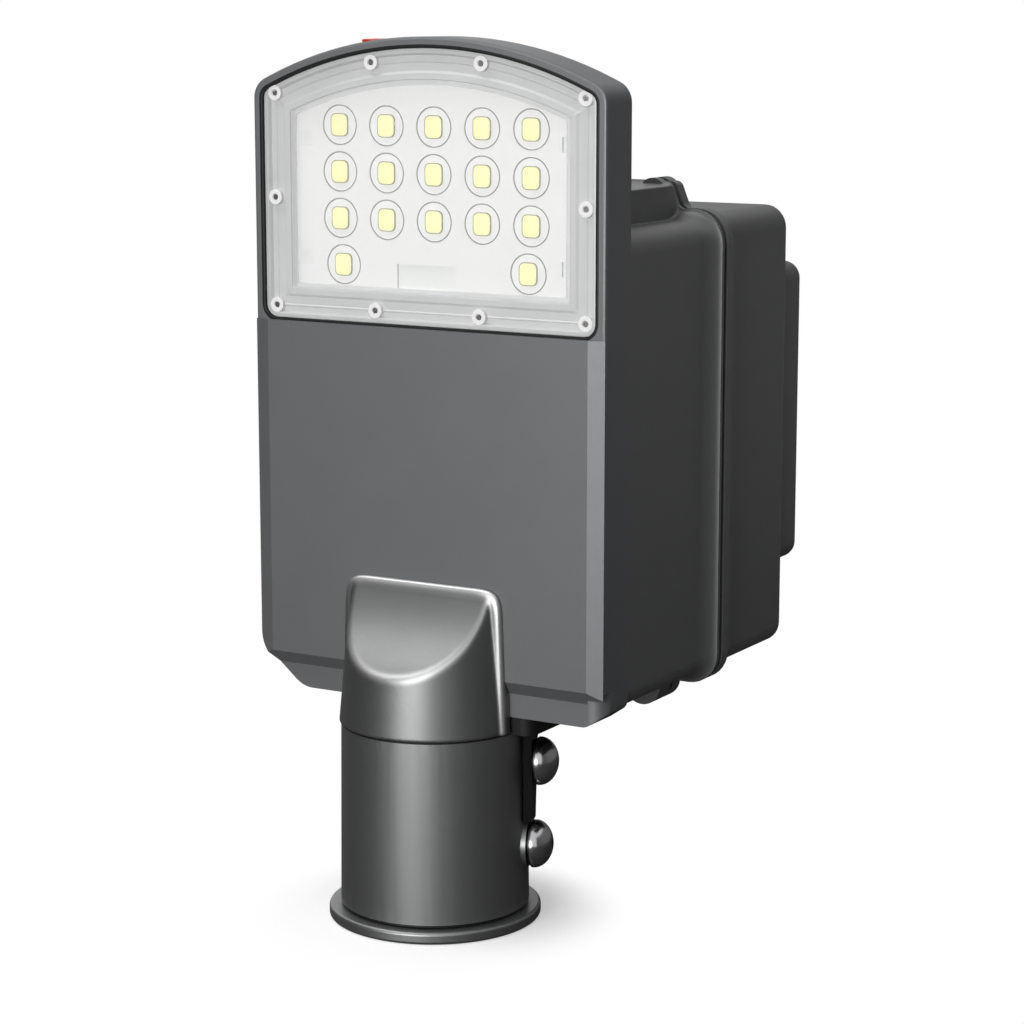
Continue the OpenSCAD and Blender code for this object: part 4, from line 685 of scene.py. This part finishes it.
# the diodes look a little larger than they are, because the clear lenses magnify them
def makeDiodes():
    look = diodeLook
    top = diodeHigh.z - look["cadH"] / 2
    spots = []
    for row in range(4):
        for col in range(-2, 3):
            if row < 3:
                spots.append((col * look["pitchX"], top - row * look["pitchZ"]))
            elif abs(col) == 2:  # the last row has its two outer diodes only, a little further in
                spots.append((col * look["pitchX"] - math.copysign(look["lastInX"], col), top - row * look["pitchZ"]))
    plates = plateTree()
    frameFront = diodeLow.y + look["sunk"]
    growPiece("diodeSeats", plates, [(x, boardLow.y - look["gap"], z) for x, z in spots], {
        "Width": mm(2 * look["domeR"]), "Height": mm(2 * look["domeR"]),
        "Corner": mm(look["domeR"] - look["seatRound"]), "Depth": mm(look["seat"])},
        "lamp", "reflector_white", ["reflector"])
    # the frames' olive colour is a painted shade line round each chip
    growPiece("diodeFrames", plates, [(x, boardLow.y, z) for x, z in spots], {
        "Width": mm(look["width"] + look["frame"]), "Height": mm(look["height"] + look["frame"]),
        "Corner": mm(look["corner"]), "Depth": mm(boardLow.y - frameFront)},
        "lamp", "led_phosphor", ["leds"], trimName="diodeFrameShade")
    chips = growPiece("diodePhosphor", plates, [(x, frameFront + look["chipSink"], z) for x, z in spots], {
        "Width": mm(look["width"] - look["frame"]), "Height": mm(look["height"] - look["frame"]),
        "Corner": mm(look["chipCorner"]), "Depth": mm(look["chipT"])}, "lamp", "led_phosphor", ["leds"])
    softenEdges(chips, look["chipEdge"], segments=2)
    feet = boardLow.y - look["foot"]
    domes = growPiece("diodeDomes", domeTree(), [(x, feet, z) for x, z in spots], {
        "Radius": mm(look["domeR"]), "Height": mm(look["domeH"]), "Foot": mm(look["foot"] - look["ringIn"])},
        "lamp", "led_lens_clear", ["led_lenses"], smooth=50)
    domes.visible_shadow = False  # clear, so the diodes under it stay lit
    growPiece("diodeDomeShadeRings", ringTree(), [(x, feet + look["ringOut"], z) for x, z in spots], {
        "Radius": mm(look["domeR"] - look["ringIn"]), "Thickness": mm(look["ring"])},
        "lamp", "led_lens_clear", ["led_lenses"], smooth=50, trimName="acrylicFootShade")


makeLensScrews()
makeDiodes()
print("light source made")


# The scooped neck in front of the panel, as a field: a cone, hollowed by a wide cylinder, on a plate whose edge
# stands out. All in mm

neckLook = {
    "Foot": 75.9, "Foot Radius": 36.0, "Draft": 0.0903, "Scoop Radius": 70.0, "Scoop Y": -72.8, "Scoop Z": 157.2,
    "Rim": 2.8, "Edge Top": 130.6, "Edge Half Width": 33.9, "Edge Draft": 0.0384, "Edge Corner": 12.0,
    "Edge Face": -9.6, "Edge Round": 3.6, "Blend": 1.2, "Panel": -7.0, "Band": -4.0, "Panel Z": 96.0, "Slope": 4.8,
}
# how bright the painted highlight on the rims is, and how it fades across the neck, per mm
highlightLook = {"leftFade": 0.1, "leftFrom": 3.0, "rightFade": -0.07, "rightFrom": 2.1, "edgeFade": 0.16,
           "edgeReach": 0.6, "edgeGain": 2.2, "gain": 6.0, "curve": 0.7}
neckCells = {"voxel": 0.5, "low": (-38, -38, 75), "high": (38, -2, 132)}
# the edge's inset from the plate, the rounding at the foot, and the field's slope about its surface
neckField = {"inset": 1.5, "footRound": 1.0, "density": -0.4, "surface": 0.5}

# each step of the field: its name, its Math operation and its terms, by name or number
neckSteps = [
    # the cone over the socket
    ("xx", "MULTIPLY", "x", "x"), ("away", "MULTIPLY_ADD", "y", "y", "xx"), ("away", "SQRT", "away"),
    ("up", "SUBTRACT", "z", "Foot"), ("drawn", "MULTIPLY", "up", "Draft"),
    ("cone", "SUBTRACT", "away", "Foot Radius"), ("cone", "ADD", "cone", "drawn"),
    # the scoop across it, with a soft rim
    ("sy", "SUBTRACT", "y", "Scoop Y"), ("sz", "SUBTRACT", "z", "Scoop Z"), ("syy", "MULTIPLY", "sy", "sy"),
    ("reach", "MULTIPLY_ADD", "sz", "sz", "syy"), ("reach", "SQRT", "reach"),
    ("scoop", "SUBTRACT", "Scoop Radius", "reach"), ("hard", "MAXIMUM", "cone", "scoop"),
    ("form", "SMOOTH_MAX", "cone", "scoop", "Rim"),
    # a painted highlight on that rim, fading to the left and right
    ("rimHighlight", "SUBTRACT", "form", "hard"), ("rimHighlight", "DIVIDE", "rimHighlight", "Rim"),
    ("fadeL", "MULTIPLY_ADD", "x", "leftFade", "leftFrom"), ("fadeL", "MINIMUM", "fadeL", 1.0),
    ("fadeL", "MAXIMUM", "fadeL", 0.0),
    ("fadeR", "MULTIPLY_ADD", "x", "rightFade", "rightFrom"), ("fadeR", "MINIMUM", "fadeR", 1.0),
    ("fadeR", "MAXIMUM", "fadeR", 0.0), ("rimHighlight", "MULTIPLY", "rimHighlight", "fadeL"), ("rimHighlight", "MULTIPLY", "rimHighlight", "fadeR"),
    # the plate behind it, and its edge
    ("side", "ABSOLUTE", "x"), ("side", "SUBTRACT", "side", "Edge Half Width"), ("under", "SUBTRACT", "z", "Edge Top"),
    ("side", "MULTIPLY_ADD", "under", "Edge Draft", "side"), ("plate", "SMOOTH_MAX", "side", "under", "Edge Corner"),
    ("inside", "ADD", "plate", "inset"), ("form", "SMOOTH_MAX", "form", "inside", "inset"),
    ("face", "SUBTRACT", "Edge Face", "y"), ("edge", "SMOOTH_MAX", "plate", "face", "Edge Round"),
    # a painted highlight on the edge where it stands out of the form, fading to the left
    ("hardEdge", "MAXIMUM", "plate", "face"), ("edgeHighlight", "SUBTRACT", "edge", "hardEdge"),
    ("edgeHighlight", "DIVIDE", "edgeHighlight", "Edge Round"), ("right", "ADD", "x", "Edge Half Width"),
    ("right", "MULTIPLY", "right", "edgeFade"), ("right", "MINIMUM", "right", 1.0), ("right", "MAXIMUM", "right", 0.0),
    ("edgeHighlight", "MULTIPLY", "edgeHighlight", "right"), ("nearEdge", "SUBTRACT", "edge", "form"),
    ("nearEdge", "LESS_THAN", "nearEdge", "edgeReach"), ("edgeHighlight", "MULTIPLY", "edgeHighlight", "nearEdge"),
    ("edgeHighlight", "MULTIPLY", "edgeHighlight", "edgeGain"), ("paintedHighlight", "MAXIMUM", "rimHighlight", "edgeHighlight"),
    ("paintedHighlight", "MULTIPLY", "paintedHighlight", "gain"), ("paintedHighlight", "MAXIMUM", "paintedHighlight", 0.0),
    ("paintedHighlight", "POWER", "paintedHighlight", "curve"), ("paintedHighlight", "MINIMUM", "paintedHighlight", 1.0),
    # both joined, and cut off along the panel, its slope and the foot
    ("whole", "SMOOTH_MIN", "form", "edge", "Blend"), ("slope", "SUBTRACT", "Panel Z", "z"),
    ("slope", "DIVIDE", "slope", "Slope"), ("slope", "MAXIMUM", "slope", 0.0), ("slope", "MINIMUM", "slope", 1.0),
    ("step", "SUBTRACT", "Band", "Panel"), ("back", "MULTIPLY_ADD", "slope", "step", "Panel"),
    ("behind", "SUBTRACT", "y", "back"), ("whole", "MAXIMUM", "whole", "behind"),
    ("lower", "SUBTRACT", "Foot", "z"), ("whole", "SMOOTH_MAX", "whole", "lower", "footRound"),
    # full inside, empty outside
    ("fill", "MULTIPLY_ADD", "whole", "density", "surface"), ("fill", "MAXIMUM", "fill", 0.0),
    ("fill", "MINIMUM", "fill", 1.0),
]


def neckTree():
    tree, given = growTree("neckField", {name: "Float" for name in neckLook})
    place = addNode(tree, "GeometryNodeInputPosition")
    place = addNode(tree, "ShaderNodeVectorMath", {"operation": "SCALE"}, {0: place.outputs[0], "Scale": 1000.0})
    part = addNode(tree, "ShaderNodeSeparateXYZ", inputs={0: place.outputs[0]})
    values = {**{name: given[name] for name in neckLook}, **highlightLook, **neckField,
              "x": part.outputs["X"], "y": part.outputs["Y"], "z": part.outputs["Z"]}
    for name, operation, *terms in neckSteps:
        step = addNode(tree, "ShaderNodeMath", {"operation": operation},
                       {i: values[term] if isinstance(term, str) else term for i, term in enumerate(terms)})
        values[name] = step.outputs[0]
    low, high, voxel = neckCells["low"], neckCells["high"], neckCells["voxel"]
    counts = {"Resolution " + axis: int((high[i] - low[i]) / voxel) for i, axis in enumerate("XYZ")}
    cloud = addNode(tree, "GeometryNodeVolumeCube", inputs={
        "Density": values["fill"], "Min": tuple(mm(c) for c in low), "Max": tuple(mm(c) for c in high), **counts})
    skin = addNode(tree, "GeometryNodeVolumeToMesh", {"resolution_mode": "GRID"},
                   {"Volume": cloud.outputs[0], "Threshold": neckField["surface"]})
    marked = addNode(tree, "GeometryNodeStoreNamedAttribute", {"data_type": "FLOAT", "domain": "POINT"},
                     {"Geometry": skin.outputs[0], "Name": "paintedHighlight", "Value": values["paintedHighlight"]})
    closeTree(tree, given, marked)
    return tree


growPiece("neckCasting", neckTree(), [(0, 0, 0)], neckLook, "lamp", "head_paint", ["neck"], smooth=60,
          trimName="neckCoat")
print("neck made")


# Clamp screws: polished domes with a small hexagon socket, and their washers

clampLook = {
    "angle": 20, "heights": {"upper": 61.5, "lower": 29.0}, "dome": 9.2, "domeH": 7.2, "collar": 0.8, "shank": 4.0,
    "chamfer": 0.5, "rimIn": 0.1, "rimUp": 0.15, "hex": 2.3, "hexDepth": 3.4, "hexPast": 1, "hexSides": 6,
    "steps": 20, "turns": 72, "washerEdge": 0.15,
}


# a profile (radius, height) turned about the Z axis, in mm
def turned(profile, count):
    points, faces, rings = [], [], []
    for r, h in profile:
        if r == 0:
            rings.append([len(points)] * count)
            points.append((0, 0, h))
        else:
            rings.append(list(range(len(points), len(points) + count)))
            points += [(r * math.cos(2 * math.pi * i / count), r * math.sin(2 * math.pi * i / count), h)
                       for i in range(count)]
    for a, b in zip(rings, rings[1:]):
        for i in range(count):
            k = (i + 1) % count
            face = list(dict.fromkeys((a[i], a[k], b[k], b[i])))
            if len(face) > 2:
                faces.append(tuple(face))
    return points, faces


# moves points from the Z axis to a clamp screw's axis
def onClampAxis(points, z):
    turn = (Matrix.Translation((0, 0, z)) @ Matrix.Rotation(math.radians(clampLook["angle"]), 4, "Z")
            @ Matrix.Rotation(math.radians(90), 4, "Y"))
    return [tuple(turn @ Vector(p)) for p in points]


# cuts a form out of a piece for good
def cutSocket(piece, points, faces):
    tool = addObject("socketForm", closedMesh("socketForm", points, faces))
    cut = piece.modifiers.new("socket", "BOOLEAN")
    cut.operation = "DIFFERENCE"
    cut.solver = "EXACT"
    cut.object = tool
    makePlain(piece)
    bpy.data.objects.remove(tool)


def makeClamp(which, z):
    look = clampLook
    turn = Matrix.Rotation(math.radians(-look["angle"]), 4, "Z")
    reach = [(turn @ (v.co * 1000)).x for v in frame["nodes"]["clamp_screw_" + which].data.vertices]
    tip, top = min(reach), max(reach)
    seat = top - look["collar"] - look["domeH"]
    arc = [math.pi / 2 * i / look["steps"] for i in range(look["steps"])]
    shank, dome, chamfer = look["shank"], look["dome"], look["chamfer"]
    profile = [(0, tip), (shank - chamfer, tip), (shank, tip + chamfer), (shank, seat), (dome - chamfer, seat),
               (dome - look["rimIn"], seat + look["rimUp"]), (dome, seat + chamfer)]
    profile += [(dome * math.cos(a), seat + look["collar"] + look["domeH"] * math.sin(a)) for a in arc]
    profile += [(0, top)]
    points, faces = turned(profile, look["turns"])
    screw = meshPiece("clampScrew" + which.title(), onClampAxis(points, z), faces, which + "_screw", "clamp_metal",
                      ["clamp_screw_" + which], smooth=40)
    low, high = top - look["hexDepth"], top + look["hexPast"]
    points, faces = turned([(0, low), (look["hex"], low), (look["hex"], high), (0, high)], look["hexSides"])
    cutSocket(screw, onClampAxis(points, z), faces)


for which, height in clampLook["heights"].items():
    makeClamp(which, height)
    washer = softCopy("clamp_washer_" + which, "clampWasher" + which.title(), clampLook["washerEdge"])
    dress(washer, "screw_steel", "darkSteel")
print("clamp screws made")


# Studio: a white room seen by the camera and by gloss, soft boxes in front and above, dark cards beside

softBoxes = {
    "keyBox": {"size": (0.8, 0.8), "place": (0.12, -1.6, 0.22), "watts": 24.0},
    "topBox": {"size": (0.7, 0.7), "place": (-0.45, -0.3, 1.25), "watts": 6.5},
}
lampMiddle = (0, 0, 0.2)


def makeSoftBox(name, look):
    data = bpy.data.lights.new(name, "AREA")
    data.shape = "RECTANGLE"
    data.size, data.size_y = look["size"]
    data.energy = look["watts"]
    light = addObject(name, data)
    light.location = look["place"]
    light.rotation_euler = (Vector(lampMiddle) - light.location).to_track_quat("-Z", "Y").to_euler()
    light.visible_camera = False


# in metres and in degrees round Z
cards = {
    "rightCard": {"from": -32, "to": 112, "radius": 0.85, "foot": 0.002, "top": 0.7, "grey": 0.36, "steps": 24},
    "leftCard": {"from": 168, "to": 250, "radius": 0.9, "foot": 0.002, "top": 1.1, "grey": 0.25, "steps": 24},
}


# curved cards that keep the white room off the sides
def makeCard(name, look):
    steps, r, grey = look["steps"], look["radius"], look["grey"]
    turns = [math.radians(look["from"] + (look["to"] - look["from"]) * i / steps) for i in range(steps + 1)]
    points = [(r * math.cos(a), r * math.sin(a), z) for z in (look["foot"], look["top"]) for a in turns]
    mesh = bpy.data.meshes.new(name)
    mesh.from_pydata(points, [], [(i, i + 1, steps + 2 + i, steps + 1 + i) for i in range(steps)])
    card = addObject(name, mesh)
    material, tree = newMaterial(name)
    closeMaterial(tree, addNode(tree, "ShaderNodeBsdfDiffuse", inputs={"Color": (grey, grey, grey, 1)}))
    mesh.materials.append(material)
    card.visible_camera = False


roomLight = 0.3  # the room's light on the lamp; where it is seen, it is white


def makeWorld():
    world = bpy.data.worlds.new("whiteRoom")
    bpy.context.scene.world = world
    world.use_nodes = True
    tree = world.node_tree
    tree.nodes.clear()
    path = addNode(tree, "ShaderNodeLightPath")
    seen = addNode(tree, "ShaderNodeMath", {"operation": "MAXIMUM"},
                   {0: path.outputs["Is Camera Ray"], 1: path.outputs["Is Glossy Ray"]})
    seen = addNode(tree, "ShaderNodeMath", {"operation": "MAXIMUM"},
                   {0: seen.outputs[0], 1: path.outputs["Is Transmission Ray"]})
    level = addNode(tree, "ShaderNodeMapRange", inputs={"Value": seen.outputs[0], "To Min": roomLight, "To Max": 1.0})
    back = addNode(tree, "ShaderNodeBackground", inputs={"Color": (1, 1, 1, 1), "Strength": level.outputs[0]})
    addNode(tree, "ShaderNodeOutputWorld", inputs={"Surface": back.outputs[0]})


# white where it is seen, with the lamp's shadow close by, and dark to the lamp's own gloss
floorLook = {"half": 4, "albedo": 0.8, "unseen": 0.12, "lift": 0.42, "shadowFrom": 0.042, "shadowTo": 0.075}


def makeFloor():
    look = floorLook
    mesh = bpy.data.meshes.new("floor")
    half = look["half"]
    mesh.from_pydata([(-half, -half, 0), (half, -half, 0), (half, half, 0), (-half, half, 0)], [], [(0, 1, 2, 3)])
    floor = addObject("floor", mesh)
    material, tree = newMaterial("floorWhite")
    path = addNode(tree, "ShaderNodeLightPath")
    seen = addNode(tree, "ShaderNodeMath", {"operation": "MAXIMUM"},
                   {0: path.outputs["Is Camera Ray"], 1: path.outputs["Is Transmission Ray"]})
    level = addNode(tree, "ShaderNodeMath", {"operation": "MULTIPLY"}, {0: seen.outputs[0], 1: look["lift"]})
    white = (look["albedo"],) * 3 + (1.0,)
    dark = (look["unseen"],) * 3 + (1.0,)
    albedo = addNode(tree, "ShaderNodeMix", {"data_type": "RGBA"}, {0: seen.outputs[0], 6: dark, 7: white})
    near = addNode(tree, "ShaderNodeBsdfPrincipled", inputs={
        "Base Color": albedo.outputs[2], "Roughness": 1.0, "Specular IOR Level": 0.0,
        "Emission Color": (1, 1, 1, 1), "Emission Strength": level.outputs[0]})
    far = addNode(tree, "ShaderNodeEmission", inputs={"Color": (1, 1, 1, 1), "Strength": 1.0})
    place = addNode(tree, "ShaderNodeTexCoord").outputs["Object"]
    away = addNode(tree, "ShaderNodeVectorMath", {"operation": "LENGTH"}, {0: place})
    fade = addNode(tree, "ShaderNodeMapRange", {"interpolation_type": "SMOOTHSTEP"}, {
        "Value": away.outputs["Value"], "From Min": look["shadowFrom"], "From Max": look["shadowTo"]})
    blend = addNode(tree, "ShaderNodeMath", {"operation": "MULTIPLY"}, {0: fade.outputs[0], 1: seen.outputs[0]})
    shader = addNode(tree, "ShaderNodeMixShader", inputs={
        0: blend.outputs[0], 1: near.outputs[0], 2: far.outputs[0]})
    closeMaterial(tree, shader)
    mesh.materials.append(material)


for name, look in softBoxes.items():
    makeSoftBox(name, look)
makeWorld()
makeFloor()
for name, look in cards.items():
    makeCard(name, look)
print("studio made")


# Camera at the photograph's place and angle

lensView = {"place": (0.53528, -0.85816, 0.34006), "yaw": 30.286, "pitch": 10.339, "focalPx": 2746.75,
            "widthPx": 1024, "sensorMm": 36, "near": 0.05, "far": 50}


def makeCamera():
    look = lensView
    data = bpy.data.cameras.new("camera")
    data.sensor_width = look["sensorMm"]
    data.lens = look["sensorMm"] * look["focalPx"] / look["widthPx"]
    data.clip_start, data.clip_end = look["near"], look["far"]
    camera = addObject("camera", data)
    camera.location = look["place"]
    camera.rotation_euler = (math.radians(90 - look["pitch"]), 0, math.radians(look["yaw"]))
    bpy.context.scene.camera = camera


makeCamera()
bpy.context.scene.view_settings.view_transform = "Standard"

bpy.context.view_layer.update()
